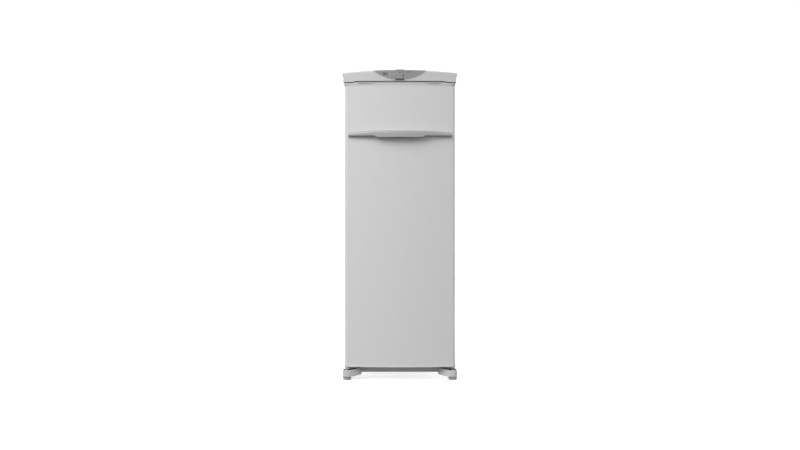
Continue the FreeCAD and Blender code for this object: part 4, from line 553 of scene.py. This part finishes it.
# The lowest drawer is shorter, because the machine bay lies behind it. The other four are alike.
ALIKE = (2, 3, 4, 5)
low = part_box("drawer_2")[0]
baskets = copies(drawer_basket("drawer_1"), [(0, 0, 0)])
baskets += copies(drawer_basket("drawer_2"), [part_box(f"drawer_{number}")[0] - low for number in ALIKE])
for number, basket in enumerate(baskets, 1):
    basket.name = f"drawer_basket_{number}"
    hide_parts(f"drawer_{number}")
    settle(basket, f"drawer_body_{number}", "clear_plastic")

# %% [markdown]
# ## Flap of the top compartment
#
# The top compartment has no drawer but a clear flap that hangs on two pins and swings up with the
# opening door. It is the same ribbed panel and grip as the drawers have, under a round barrel that
# carries the pins. The barrel is a cylinder whose ends are inset and drawn out into the pins.

# %% Clear flap
BARREL_RADIUS = 5 * MM
PIN_RADIUS = 2.7 * MM
PIN_REACH = 8 * MM
low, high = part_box("flap")
front = low.y + GRIP_REACH
axis_y, axis_z = front + PANEL_SHEET / 2, high.z - BARREL_RADIUS
half = high.x - PIN_REACH
barrel = cylinder(32, BARREL_RADIUS, 2 * half, (0, axis_y, axis_z), (0, 90, 0))
for side in (-1, 1):
    choose(barrel, faces=lambda centre, normal: normal.x * side > FACING)
    bpy.ops.mesh.inset(thickness=BARREL_RADIUS - PIN_RADIUS)
    pull(side * PIN_REACH, 0, 0)
panel = ribbed_panel(Vector((-half, front, low.z)),
                     Vector((half, front + PANEL_SHEET, axis_z - BARREL_RADIUS)))
clear_flap = joined("clear_flap", barrel, hooked_grip(front, low.z + GRIP_DROP + GRIP_REACH), panel)
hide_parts("flap")
settle(clear_flap, "top_flap", "clear_plastic")

# %% [markdown]
# ## Control panel
#
# The grey insert in the lid is edged by a fine bright bead. On the real panel it is a lip of the
# lid's own moulding that stands up round the insert, and it breaks off where a slot reaches the edge. A
# small ring is spun along the insert's arc, its middle is cut away, and the rest is laid back onto the
# bowed front and over the round top edge of the lid.

# %% Bead round the insert
LENS_HALF = 148 * MM
LENS_DIP = 52 * MM
BEAD_RADIUS = 1.3 * MM
BEAD_BREAK = 25 * MM
LID_ROUND = 8 * MM
LID_BOW = 20 * MM
LID_EDGE = 1671 * MM
cover_low, cover_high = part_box("top_cover")
LID_HALF = cover_high.x
LID_CROWN = cover_high.z - LID_EDGE


def lid_front(x, z):
    """Depth of the lid's face at a place across and a height: bowed, and rounded towards its top."""
    bowed = cover_low.y + LID_BOW * (x / LID_HALF) ** 2
    over = z - (LID_EDGE + LID_CROWN * (1 - (x / LID_HALF) ** 2) - LID_ROUND)
    back = LID_ROUND - math.sqrt(max(LID_ROUND ** 2 - over ** 2, 0)) if over > 0 else 0
    return bowed + back


def lay_on_lid(piece, proud=0):
    """Move a flat piece, modelled about depth zero, against the lid's bowed face."""
    only(piece)
    for vertex in piece.data.vertices:
        vertex.co.y += lid_front(vertex.co.x, vertex.co.z) - proud


lens_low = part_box("control_lens")[0]
arc_radius = (LENS_HALF ** 2 + LENS_DIP ** 2) / (2 * LENS_DIP)
sweep_angle = 2 * math.asin(LENS_HALF / arc_radius)
tip_z = lens_low.z + LENS_DIP
bpy.ops.mesh.primitive_circle_add(vertices=10, radius=BEAD_RADIUS, location=(-LENS_HALF, 0, tip_z),
                                  rotation=(0, math.pi / 2 + sweep_angle / 2, 0))
bead = bpy.context.object
bead.name = "insert_bead"
bpy.ops.object.transform_apply(location=True, rotation=True)
bpy.ops.object.mode_set(mode="EDIT")
bpy.ops.mesh.select_all(action="SELECT")
bpy.ops.mesh.spin(steps=64, angle=sweep_angle, center=(0, 0, lens_low.z + arc_radius), axis=(0, 1, 0))
for side in (-1, 1):
    choose(bead)
    bpy.ops.mesh.bisect(plane_co=(side * BEAD_BREAK, 0, 0), plane_no=(1, 0, 0))
choose(bead, faces=lambda centre, normal: abs(centre.x) < BEAD_BREAK)
bpy.ops.mesh.delete(type="FACE")
closed(bead)
lay_on_lid(bead)
settle(bead, "cabinet", "silver_plastic", angle=80)

# %% [markdown]
# ## Display and marks
#
# The display shows a temperature in seven bars for each figure. One bar is a small block with its
# ends bevelled to points, and it is copied to every place that is lit. A cold star on the pale button
# and the usual ring with a stroke on the dark one are spun from one short bar each.

# %% Figures on the display
HALF_BAR = 2.2 * MM
BAR_HALF = 0.55 * MM
BAR_THICK = 0.2 * MM
BAR_SINK = 0.05 * MM
BAR_POINT = 0.9 * BAR_HALF
FIGURE_PITCH = 8 * MM
# Half bars across and up from the middle of a figure, and 1 where the bar stands upright.
BAR_PLACES = {"top": (0, 2, 0), "left_high": (-1, 1, 1), "right_high": (1, 1, 1), "middle": (0, 0, 0),
              "left_low": (-1, -1, 1), "right_low": (1, -1, 1), "bottom": (0, -2, 0)}
LIT_BARS = (("middle",), ("right_high", "right_low"), tuple(BAR_PLACES))
window_low, window_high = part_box("display_window")
window_middle = (window_low + window_high) / 2
reach = HALF_BAR - BAR_HALF / 2
bar = box("bar", (-reach, -BAR_THICK / 2, -BAR_HALF), (reach, BAR_THICK / 2, BAR_HALF))
choose(bar, edges=lambda a, b: abs(a.y - b.y) > BAR_THICK / 2)
bpy.ops.mesh.bevel(offset=BAR_POINT, segments=1)
spots, turns = [], []
for place, lit in enumerate(LIT_BARS):
    for name in lit:
        across, up, upright = BAR_PLACES[name]
        spots.append((window_middle.x + (place - 1) * FIGURE_PITCH + across * HALF_BAR,
                      window_low.y + BAR_SINK, window_middle.z + up * HALF_BAR))
        turns.append(math.radians(90) * upright)
figures = joined("display_figures", *copies(bar, spots, turns))
settle(figures, "cabinet", "light_button")

# %% Marks on the buttons
MARK_PROUD, MARK_SUNK = 0.1 * MM, 0.3 * MM
# Corners (across, up) of each bar, in millimetres from the middle of its button.
STAR_ARM, STAR_BARB = ((-0.3, -0.2), (0.3, 3.8)), ((-1.1, 2.2), (1.1, 2.7))
RING_START, STROKE = ((-0.4, 2.4), (0.1, 3.1)), ((-0.35, 0.6), (0.35, 3.6))
STAR_ARC, RING_ARC, RING_TURN = math.radians(300), math.radians(270), math.radians(40)


def mark_bar(name, middle, front, corners):
    """Bar on the front of a button, a little sunk into it."""
    (left, bottom), (right, top) = corners
    return box(name, (middle.x + left * MM, front - MARK_PROUD, middle.z + bottom * MM),
               (middle.x + right * MM, front + MARK_SUNK, middle.z + top * MM))


low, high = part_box("button_freeze")
centre = (low + high) / 2
barb = mark_bar("barb", centre, low.y, STAR_BARB)
star = joined("cold_star", barb, mark_bar("arm", centre, low.y, STAR_ARM))
choose(star)
bpy.ops.mesh.spin(steps=5, angle=STAR_ARC, dupli=True, center=centre, axis=(0, 1, 0))
settle(star, "freeze_button", "dark_button")

low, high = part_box("button_power")
centre = (low + high) / 2
ring = mark_bar("ring", centre, low.y, RING_START)
choose(ring, faces=lambda middle, normal: normal.x < -FACING)
bpy.ops.mesh.spin(steps=27, angle=RING_ARC, center=centre, axis=(0, 1, 0))
closed(ring)
bpy.ops.transform.rotate(value=RING_TURN, orient_axis="Y", center_override=centre)
switch_mark = joined("switch_mark", mark_bar("stroke", centre, low.y, STROKE), ring)
settle(switch_mark, "power_button", "light_button")

# %% [markdown]
# ## Slot in the insert
#
# A narrow slot low in the insert lets room air reach a sensor. Behind it sits a little trough of black
# rubber, and below it a dark plastic lip closes the insert's edge. Both are painted shade: dark pieces
# that make the slot and the insert's lower edge look shaded. A block whose front is inset and pushed
# back makes the trough. The lip is a thin block with round corners, laid against the bowed face point
# by point, because even a piece as small as this would float at one end otherwise.

# %% Trough and lip
TROUGH_HALF = 27 * MM
TROUGH_WALL = 1.5 * MM
TROUGH_DEPTH = 5 * MM
TROUGH_GAP = 0.6 * MM
TROUGH_OVER = 2 * MM
INSERT_WALL = 3 * MM
INSERT_PROUD = 0.8 * MM
SLOT_RISE, SLOT_TALL = 3 * MM, 5 * MM
LIP_BELOW, LIP_THICK, LIP_CORNER, LIP_ROUND = 1 * MM, 1.6 * MM, 1.2 * MM, 0.4 * MM


def plate(name, low, high, thick, corner):
    """Upright plate about depth zero between two corners (across, up), with its corners rounded."""
    piece = box(name, (low[0], -thick / 2, low[1]), (high[0], thick / 2, high[1]))
    choose(piece, edges=lambda a, b: abs(a.y - b.y) > thick / 2)
    bpy.ops.mesh.bevel(offset=corner, segments=4)
    only(piece)
    return piece


slot_low = lens_low.z + SLOT_RISE
behind = lens_low.y + INSERT_WALL + TROUGH_GAP
# Black trough: painted shade that makes the slot look dark.
trough = box("slot_shade_trough", (-TROUGH_HALF, behind, slot_low - TROUGH_OVER),
             (TROUGH_HALF, behind + TROUGH_DEPTH + TROUGH_WALL, slot_low + SLOT_TALL + TROUGH_OVER))
choose(trough, faces=lambda centre, normal: normal.y < -FACING)
bpy.ops.mesh.inset(thickness=TROUGH_WALL)
pull(0, TROUGH_DEPTH, 0)
settle(trough, "cabinet", "black_rubber")
# Dark lip: painted shade along the insert's lower edge.
slot_shade_lip = plate("slot_shade_lip", (-BEAD_BREAK, lens_low.z - LIP_BELOW), (BEAD_BREAK, slot_low),
                 LIP_THICK, LIP_CORNER)
apply_modifier(slot_shade_lip, "BEVEL", width=LIP_ROUND, segments=2, limit_method="ANGLE")
lay_on_lid(slot_shade_lip, INSERT_PROUD)
settle(slot_shade_lip, "cabinet", "dark_button")

# %% [markdown]
# ## Print on the insert
#
# Three kinds of marks are printed on the insert: a dark collar round each lamp, a short dark line
# beside them and a pale thermometer beside the display. The line and the thermometer are thin plates
# with round corners. A collar is a circle drawn out to a flat ring, which Solidify gives the thickness
# of the ink.

# %% Printed marks
PRINT_THICK = 0.3 * MM
LAMP_RADIUS = 2 * MM
COLLAR_INNER = 2.2 * MM
COLLAR_WIDE = 1.5
LINE_START, LINE_END, LINE_RISE, LINE_TALL = 33 * MM, 62 * MM, 42 * MM, 3.2 * MM
LINE_CORNER = 0.4 * LINE_TALL
GLASS_X, GLASS_LOW, GLASS_HIGH, GLASS_HALF, BULB_HALF = -55 * MM, 30 * MM, 39 * MM, 1.3 * MM, 2.8 * MM
ROUND_SHARE = 0.95
base = lens_low.z
lamp_low, lamp_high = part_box("indicator_lights")
lamp_z = (lamp_low.z + lamp_high.z) / 2
only()
bpy.ops.mesh.primitive_circle_add(vertices=24, radius=COLLAR_INNER, rotation=(math.radians(90), 0, 0))
collar = bpy.context.object
bpy.ops.object.transform_apply(rotation=True)
bpy.ops.object.mode_set(mode="EDIT")
bpy.ops.mesh.select_all(action="SELECT")
bpy.ops.mesh.extrude_edges_move()
bpy.ops.transform.resize(value=(COLLAR_WIDE, 1, COLLAR_WIDE), center_override=(0, 0, 0))
apply_modifier(collar, "SOLIDIFY", thickness=PRINT_THICK, offset=0)
collars = copies(collar, [(x, 0, lamp_z) for x in (lamp_low.x + LAMP_RADIUS, (lamp_low.x + lamp_high.x) / 2,
                                                   lamp_high.x - LAMP_RADIUS)])
line = plate("line", (LINE_START, base + LINE_RISE), (LINE_END, base + LINE_RISE + LINE_TALL),
             PRINT_THICK, LINE_CORNER)
dark_print = joined("dark_print", *collars, line)
lay_on_lid(dark_print, INSERT_PROUD)
settle(dark_print, "cabinet", "dark_button")
tube = plate("tube", (GLASS_X - GLASS_HALF, base + GLASS_LOW), (GLASS_X + GLASS_HALF, base + GLASS_HIGH),
             PRINT_THICK, ROUND_SHARE * GLASS_HALF)
bulb = plate("bulb", (GLASS_X - BULB_HALF, base + GLASS_LOW - BULB_HALF),
             (GLASS_X + BULB_HALF, base + GLASS_LOW + BULB_HALF), PRINT_THICK, ROUND_SHARE * BULB_HALF)
thermometer = joined("thermometer_mark", tube, bulb)
lay_on_lid(thermometer, INSERT_PROUD)
settle(thermometer, "cabinet", "light_button")

# %% [markdown]
# ## Lips of the door's end caps
#
# The plastic caps that close the door above and below end in fine lips. The lower one is a drip edge:
# its face leans out, so it catches the light as a bright line, and water falls clear of the door. The
# upper one is a plain half round along the raised middle. Both follow the bow of the door, so one ring
# of points, the section, is set at one end and spun about the far centre of that bow.

# %% Drip edge and upper lip
DOOR_BOW = 20 * MM
DRIP_SECTION = ((-3, 9.5), (0.1, 9.5), (2.8, 2.4), (2.5, 1.2), (1.4, 0.5), (-3, 0.5))
ROUND_SECTION = ((-1, -2), (0.8, -1.8), (1.6, -1.1), (1.9, 0), (1.6, 1.1), (0.8, 1.8), (-1, 2))
cap_low, cap_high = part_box("door_bottom_cap")
bow_radius = (cap_high.x ** 2 + DOOR_BOW ** 2) / (2 * DOOR_BOW)
bow_centre = cap_low.y + bow_radius


def bowed_lip(name, section, height, half):
    """Strip with a section of (forward, up) millimetres, along the bow from -half to half."""
    only()
    bpy.ops.mesh.primitive_circle_add(vertices=len(section), radius=MM)
    lip = bpy.context.object
    lip.name = name
    turn = math.asin(half / bow_radius)
    for vertex, (forward, up) in zip(lip.data.vertices, section):
        reach = bow_radius + forward * MM
        vertex.co = (-reach * math.sin(turn), bow_centre - reach * math.cos(turn), height + up * MM)
    bpy.ops.object.mode_set(mode="EDIT")
    bpy.ops.mesh.select_all(action="SELECT")
    bpy.ops.mesh.spin(steps=48, angle=-2 * turn, center=(0, bow_centre, 0), axis=(0, 0, 1))
    closed(lip)
    return lip


LIP_END = 14 * MM
LIP_DROP = 2.2 * MM
RAISED_HALF = 235 * MM
top_low, top_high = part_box("door_top_cap")
settle(bowed_lip("drip_edge", DRIP_SECTION, cap_low.z, cap_high.x - LIP_END), "door", "silver_plastic")
settle(bowed_lip("upper_lip", ROUND_SECTION, top_high.z - LIP_DROP, RAISED_HALF), "door", "silver_plastic")

# %% [markdown]
# ## Dark strips in the seam of the upper cap
#
# A short dark strip sits in the seam between the skin and the cap at each of the two upper corners.
# Both are cut from one bowed strip with a thin square section: two cuts take its middle away.

# %% Dark seam strips
SEAM_STRIP_SECTION = ((-2, -0.9), (0.5, -0.9), (0.5, 0.9), (-2, 0.9))
SEAM_STRIP_START, SEAM_STRIP_END, SEAM_STRIP_RISE = 276 * MM, 298 * MM, 1.5 * MM
seam_strips = bowed_lip("dark_seam_strips", SEAM_STRIP_SECTION, top_low.z + SEAM_STRIP_RISE, SEAM_STRIP_END)
bpy.ops.mesh.bisect(plane_co=(SEAM_STRIP_START, 0, 0), plane_no=(1, 0, 0))
bpy.ops.mesh.select_all(action="SELECT")
bpy.ops.mesh.bisect(plane_co=(-SEAM_STRIP_START, 0, 0), plane_no=(1, 0, 0))
choose(seam_strips, faces=lambda centre, normal: abs(centre.x) < SEAM_STRIP_START)
bpy.ops.mesh.delete(type="FACE")
closed(seam_strips)
settle(seam_strips, "door", "black_rubber")

# %% [markdown]
# ## Levelling feet
#
# The front of the freezer stands on two screw feet of silver plastic that are turned by hand, so
# their rims are ribbed for the fingers. A cylinder gets a waist and a sole by inset and extrusion,
# and every other face of its rim is pulled out a little.

# %% Ribbed feet
FOOT_RIBS = 36
RIB_OUT = 0.9 * MM
RIB_EDGE = 0.35 * MM
RIM_RISE = 19.7 * MM
SOLE_INSET = 3 * MM
SOLE_RISE = 2.5 * MM
STEM_RADIUS = 5 * MM


def ribbed_foot(node):
    """Screw foot in the place of a node: ribbed rim, narrower sole, stem up into its bracket."""
    low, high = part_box(node)
    centre = (low + high) / 2
    radius = (high.x - low.x) / 2 - RIB_OUT
    rim_top = low.z + RIM_RISE

    def rib(middle, normal):
        """Every other face of the rim."""
        around = math.atan2(middle.y - centre.y, middle.x - centre.x) % math.tau
        return abs(normal.z) < 1 - FACING and int(2 * FOOT_RIBS * around / math.tau) % 2 == 0

    foot = cylinder(2 * FOOT_RIBS, radius, RIM_RISE - SOLE_RISE,
                    (centre.x, centre.y, (rim_top + low.z + SOLE_RISE) / 2))
    choose(foot, faces=rib)
    bpy.ops.mesh.inset(thickness=RIB_EDGE, use_individual=True)
    wider = 1 + RIB_OUT / radius
    bpy.ops.transform.resize(value=(wider, wider, 1), center_override=centre)
    for side in (-1, 1):
        choose(foot, faces=lambda middle, normal: normal.z * side > FACING
               and (middle - centre).xy.length < STEM_RADIUS)
        bpy.ops.mesh.inset(thickness=SOLE_INSET)
        pull(0, 0, -SOLE_RISE)
    bpy.ops.mesh.inset(thickness=radius - SOLE_INSET - STEM_RADIUS)
    pull(0, 0, high.z - rim_top + SOLE_RISE)
    return foot


SIDES = ("left", "right")
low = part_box("levelling_foot_left")[0]
shifts = [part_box(f"levelling_foot_{side}")[0] - low for side in SIDES]
for side, foot in zip(SIDES, copies(ribbed_foot("levelling_foot_left"), shifts)):
    foot.name = f"ribbed_foot_{side}"
    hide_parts(f"levelling_foot_{side}")
    settle(foot, f"foot_{side}", "silver_plastic")

# %% [markdown]
# ## Rubber in the front brackets
#
# The two front brackets are hollow mouldings. A black rubber plug in the mouth of each one is painted
# shade: it makes the gap under the door's lower edge dark. It follows the bracket: swept back towards
# the middle and rising with it. A block is cut along the sweep, its outer corner is bevelled round, and
# the points inboard of the bend are lifted along the slope.

# %% Bracket plugs
BRACKET_WALL = 7 * MM
BRACKET_BLUNT = 35.5 * MM
BRACKET_SWEEP = 30 * MM
BRACKET_RISE = 13 * MM
PLUG_THICK = 5 * MM
PLUG_SINK = 1.2 * MM
PLUG_ROUND = 13 * MM


def bracket_shade_plug(name, node, side):
    """Black plug in the mouth of a bracket, painted shade; side is -1 on the left and 1 on the right."""
    low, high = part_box(node)
    outer = max(abs(low.x), abs(high.x)) - BRACKET_WALL
    inner = min(abs(low.x), abs(high.x)) + BRACKET_WALL
    bend = outer + BRACKET_WALL - BRACKET_BLUNT
    front, back = low.y + BRACKET_WALL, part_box("front_crossbar")[0].y - BRACKET_WALL
    top = high.z - BRACKET_RISE - PLUG_SINK
    ends = sorted((side * inner, side * outer))
    plug = box(name, (ends[0], front, top - PLUG_THICK), (ends[1], back, top))
    choose(plug, edges=lambda a, b: abs(a.z - b.z) > PLUG_THICK / 2 and a.y < front + MM
           and a.x * side > bend)
    bpy.ops.mesh.bevel(offset=PLUG_ROUND, segments=5)
    bpy.ops.mesh.select_all(action="SELECT")
    bpy.ops.mesh.bisect(plane_co=(side * bend, 0, 0), plane_no=(side, 0, 0))
    bpy.ops.mesh.select_all(action="SELECT")
    bpy.ops.mesh.bisect(plane_co=(side * bend, front, 0), plane_no=(-side * BRACKET_SWEEP, inner - bend, 0),
                        clear_outer=True, use_fill=True)
    only(plug)
    for vertex in plug.data.vertices:
        inboard = max(bend - vertex.co.x * side, 0) / (bend - inner + BRACKET_WALL)
        vertex.co.z += BRACKET_RISE * inboard
    return plug


# Each plug is painted shade in the mouth of its bracket.
for side, word in zip((-1, 1), SIDES):
    settle(bracket_shade_plug(f"bracket_shade_plug_{word}", f"foot_bracket_{word}", side), "cabinet", "black_rubber")

# %% [markdown]
# ## Rubber feet of the compressor
#
# Bolted down hard, the compressor would shake the whole cabinet. So it stands on four rubber grommets,
# each with a bellows base that swallows the shake, a neck through the sole plate and a lip above it. A
# bolt keeps it in place when the freezer is carried. A cylinder is cut into rings, every other ring is
# drawn in, and the top is inset and extruded into neck and lip. The bolt is a six-sided cylinder with
# its upper edges bevelled and its foot widened to a washer.

# %% Grommets and bolts
GROMMET_RADIUS = 11 * MM
GROMMET_BASE = 13.7 * MM
GROMMET_RINGS = 8
GROMMET_WAIST = 0.86
NECK_RADIUS = 7.2 * MM
NECK_RISE = 3.6 * MM
LIP_RISE = 3 * MM
BOLT_RADIUS = 5 * MM
BOLT_RISE = 4 * MM
BOLT_ROUND = BOLT_RISE / 6
WASHER_WIDE = 1.35
WASHER_RISE = 1 * MM


def grow(rise, factor):
    """Draw the chosen face up by a rise and then make it wider or narrower by a factor."""
    pull(0, 0, rise)
    bpy.ops.transform.resize(value=(factor, factor, 1))


low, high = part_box("compressor_grommets")
grommet = cylinder(32, GROMMET_RADIUS, GROMMET_BASE, (0, 0, GROMMET_BASE / 2))
pitch = GROMMET_BASE / GROMMET_RINGS
for ring in range(1, GROMMET_RINGS):
    choose(grommet)
    bpy.ops.mesh.bisect(plane_co=(0, 0, ring * pitch), plane_no=(0, 0, 1))
for ring in range(1, GROMMET_RINGS, 2):
    choose(grommet, edges=lambda a, b: max(abs(a.z - ring * pitch), abs(b.z - ring * pitch)) < pitch / 4)
    bpy.ops.transform.resize(value=(GROMMET_WAIST, GROMMET_WAIST, 1))
choose(grommet, faces=lambda middle, normal: normal.z > FACING and middle.z > GROMMET_BASE - MM)
bpy.ops.mesh.inset(thickness=GROMMET_RADIUS - NECK_RADIUS)
grow(NECK_RISE, 1)
grow(0, GROMMET_RADIUS / NECK_RADIUS)
grow(LIP_RISE, NECK_RADIUS / GROMMET_RADIUS)
bolt = cylinder(6, BOLT_RADIUS, BOLT_RISE, (0, 0, BOLT_RISE / 2))
choose(bolt, edges=lambda a, b: min(a.z, b.z) > BOLT_RISE / 2)
bpy.ops.mesh.bevel(offset=BOLT_ROUND, segments=2)
choose(bolt, faces=lambda middle, normal: normal.z < -FACING)
grow(0, WASHER_WIDE)
grow(-WASHER_RISE, 1)
corners = [(x, y) for x in (low.x + GROMMET_RADIUS, high.x - GROMMET_RADIUS)
           for y in (low.y + GROMMET_RADIUS, high.y - GROMMET_RADIUS)]
grommets = joined("ribbed_grommets", *copies(grommet, [(x, y, low.z) for x, y in corners]))
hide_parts("compressor_grommets")
settle(grommets, "cabinet", "black_rubber")
bolts = joined("grommet_bolts", *copies(bolt, [(x, y, high.z + WASHER_RISE) for x, y in corners]))
settle(bolts, "cabinet", "bright_steel")

# %% [markdown]
# ## Screws of the back panel
#
# The zinc-coated back panel is held by pan-head screws along its edges, and three more hold the cover
# of the starter. One screw is a short cylinder whose top is bevelled round and then cut by a cross: two
# thin slots pushed in. It is copied to every place, and each copy is turned, as no two screws stop at
# the same angle.

# %% Pan-head screws
SCREW_RADIUS = 4.2 * MM
SCREW_RISE = 2.2 * MM
SCREW_ROUND = 0.6 * SCREW_RISE
SLOT_HALF = 0.45 * MM
SLOT_DEEP = 0.7 * SCREW_RISE
screw = cylinder(24, SCREW_RADIUS, SCREW_RISE, turn=(-90, 0, 0))
choose(screw, edges=lambda a, b: min(a.y, b.y) > 0)
bpy.ops.mesh.bevel(offset=SCREW_ROUND, segments=4)
for cut in ((1, 0, 0), (0, 0, 1)):
    for side in (-1, 1):
        choose(screw, faces=lambda middle, normal: normal.y > FACING)
        bpy.ops.mesh.bisect(plane_co=Vector(cut) * SLOT_HALF * side, plane_no=cut)
choose(screw, faces=lambda middle, normal: normal.y > FACING
       and min(abs(middle.x), abs(middle.z)) < SLOT_HALF)
pull(0, -SLOT_DEEP, 0)

SCREW_EDGE = 12 * MM
SCREW_TURN = math.radians(37)
SIDE_SHARES = (0.02, 0.26, 0.5, 0.74, 0.98)
TOP_PLACES = (-150 * MM, 0, 150 * MM)
COVER_EDGE = 8 * MM
COVER_WIDE = 42 * MM
GLAND_RISE = 8 * MM
panel_low, panel_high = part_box("back_panel")
panel_tall = panel_high.z - panel_low.z
box_low, box_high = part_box("starter_box")
spots = [(side * (panel_high.x - SCREW_EDGE), panel_high.y, panel_low.z + share * panel_tall)
         for side in (-1, 1) for share in SIDE_SHARES]
spots += [(across, panel_high.y, panel_high.z - SCREW_EDGE) for across in TOP_PLACES]
cover_y = box_high.y - GLAND_RISE
spots += [(box_low.x + COVER_EDGE, cover_y, box_high.z - COVER_EDGE),
          (box_low.x + COVER_WIDE, cover_y, box_high.z - COVER_EDGE),
          (box_low.x + COVER_WIDE, cover_y, box_low.z + COVER_EDGE)]
spots = [(x, y + SCREW_RISE / 2, z) for x, y, z in spots]
turns = [SCREW_TURN * number for number in range(len(spots))]
back_screws = joined("back_screws", *copies(screw, spots, turns))
settle(back_screws, "cabinet", "bright_steel")

# %% [markdown]
# ## The studio
#
# Product photographs of this kind are taken on a white surface that is lit from within, so that only
# a faint grey touches the feet. A wide drum does the same from every side: a disc for the floor, its
# rim drawn up into a wall and the corner rounded, so that no line shows behind the freezer. It glows
# for the camera, but it is hidden from scattered light, or its glow would wash out the soft shading
# of the door.

# %% White drum
DRUM_RADIUS = 14.0
DRUM_WALL = 12.0
DRUM_BEND = 4.0
PAPER_GLOW = 0.66
bpy.ops.mesh.primitive_circle_add(vertices=96, radius=DRUM_RADIUS, fill_type="NGON")
drum = bpy.context.object
drum.name = "white_drum"
choose(drum, edges=lambda a, b: True)
bpy.ops.mesh.extrude_edges_move(TRANSFORM_OT_translate={"value": (0, 0, DRUM_WALL)})
choose(drum, edges=lambda a, b: max(a.z, b.z) < DRUM_WALL / 2)
bpy.ops.mesh.bevel(offset=DRUM_BEND, segments=16)
bpy.ops.object.mode_set(mode="OBJECT")
bpy.ops.object.shade_smooth()
paper = layered("glowing_white_paper", ("F0F0F0", "F4F4F4"), (0.88, 0.92), patches(900), {
    "Emission Strength": PAPER_GLOW, "Emission Color": (1, 1, 1, 1)})
drum.data.materials.append(paper)
drum.visible_diffuse = False
drum.visible_shadow = False
print("drum has", len(drum.data.polygons), "faces")

# %% [markdown]
# ## Light and camera
#
# One very large softbox stands far away, to the left and above, so the shade on the bowed door
# changes slowly and the handle throws a long soft shadow. The rest is the studio's white ceiling: a
# sky that is bright above the horizon and nearly dark below it, so that whatever hangs under the lid,
# the handle or the door stays in shade. Straight above it is dimmer, or the lid would be burnt out. A
# weak softbox on the right draws the door's far edge, and a third one behind lights the back for the
# other views.

# %% Light
world = bpy.data.worlds.new("studio_air")
bpy.context.scene.world = world
world.use_nodes = True
world.node_tree.nodes["Background"].inputs["Color"].default_value = (1, 1, 1, 1)
SKY_ABOVE, SKY_BELOW, SKY_BLEND = 0.65, 0.09, 0.3
ZENITH_SHARE = 0.4
direction = add(world, "ShaderNodeTexCoord", {})
height = add(world, "ShaderNodeSeparateXYZ", {}, {"Vector": direction.outputs["Generated"]})
ceiling = add(world, "ShaderNodeMapRange",
              {"From Min": -SKY_BLEND, "From Max": SKY_BLEND, "To Min": SKY_BELOW, "To Max": SKY_ABOVE},
              {"Value": height.outputs["Z"]})
zenith = add(world, "ShaderNodeMapRange", {"From Min": SKY_BLEND, "To Min": 1, "To Max": ZENITH_SHARE},
             {"Value": height.outputs["Z"]})
glow = add(world, "ShaderNodeMath", {"operation": "MULTIPLY"},
           {0: ceiling.outputs["Result"], 1: zenith.outputs["Result"]})
world.node_tree.links.new(glow.outputs["Value"], world.node_tree.nodes["Background"].inputs["Strength"])

# Each softbox: its place and what it faces, its width in metres and its power in watts.
SOFTBOXES = {"key_softbox": ((-7.4, -8.0, 10.4), (0, -0.3, 0.9), 9.4, 2330),
             "side_softbox": ((4.9, -1.6, 1.6), (0.3, -0.3, 0.9), 2.0, 30),
             "back_softbox": ((3.2, 5.0, 1.8), (0, 0.3, 0.8), 3.0, 150)}
for name, (place, aim, width, power) in SOFTBOXES.items():
    bpy.ops.object.light_add(type="AREA", location=place)
    lamp = bpy.context.object
    lamp.name = name
    lamp.data.size = width
    lamp.data.energy = power
    lamp.rotation_euler = (Vector(aim) - Vector(place)).to_track_quat("-Z", "Y").to_euler()
    lamp.visible_camera = False
bpy.context.scene.view_settings.view_transform = "Standard"
print("three softboxes and a pale ceiling")

# %% Camera
CAMERA_PLACE = (0.001, -5.3115, 0.844)
SENSOR, LENS = 36, 41.6
bpy.ops.object.camera_add(location=CAMERA_PLACE, rotation=(math.radians(90), 0, 0))
camera = bpy.context.object
camera.name = "front_camera"
camera.data.sensor_width = SENSOR
camera.data.lens = LENS
bpy.context.scene.camera = camera
print("camera at", tuple(camera.location))
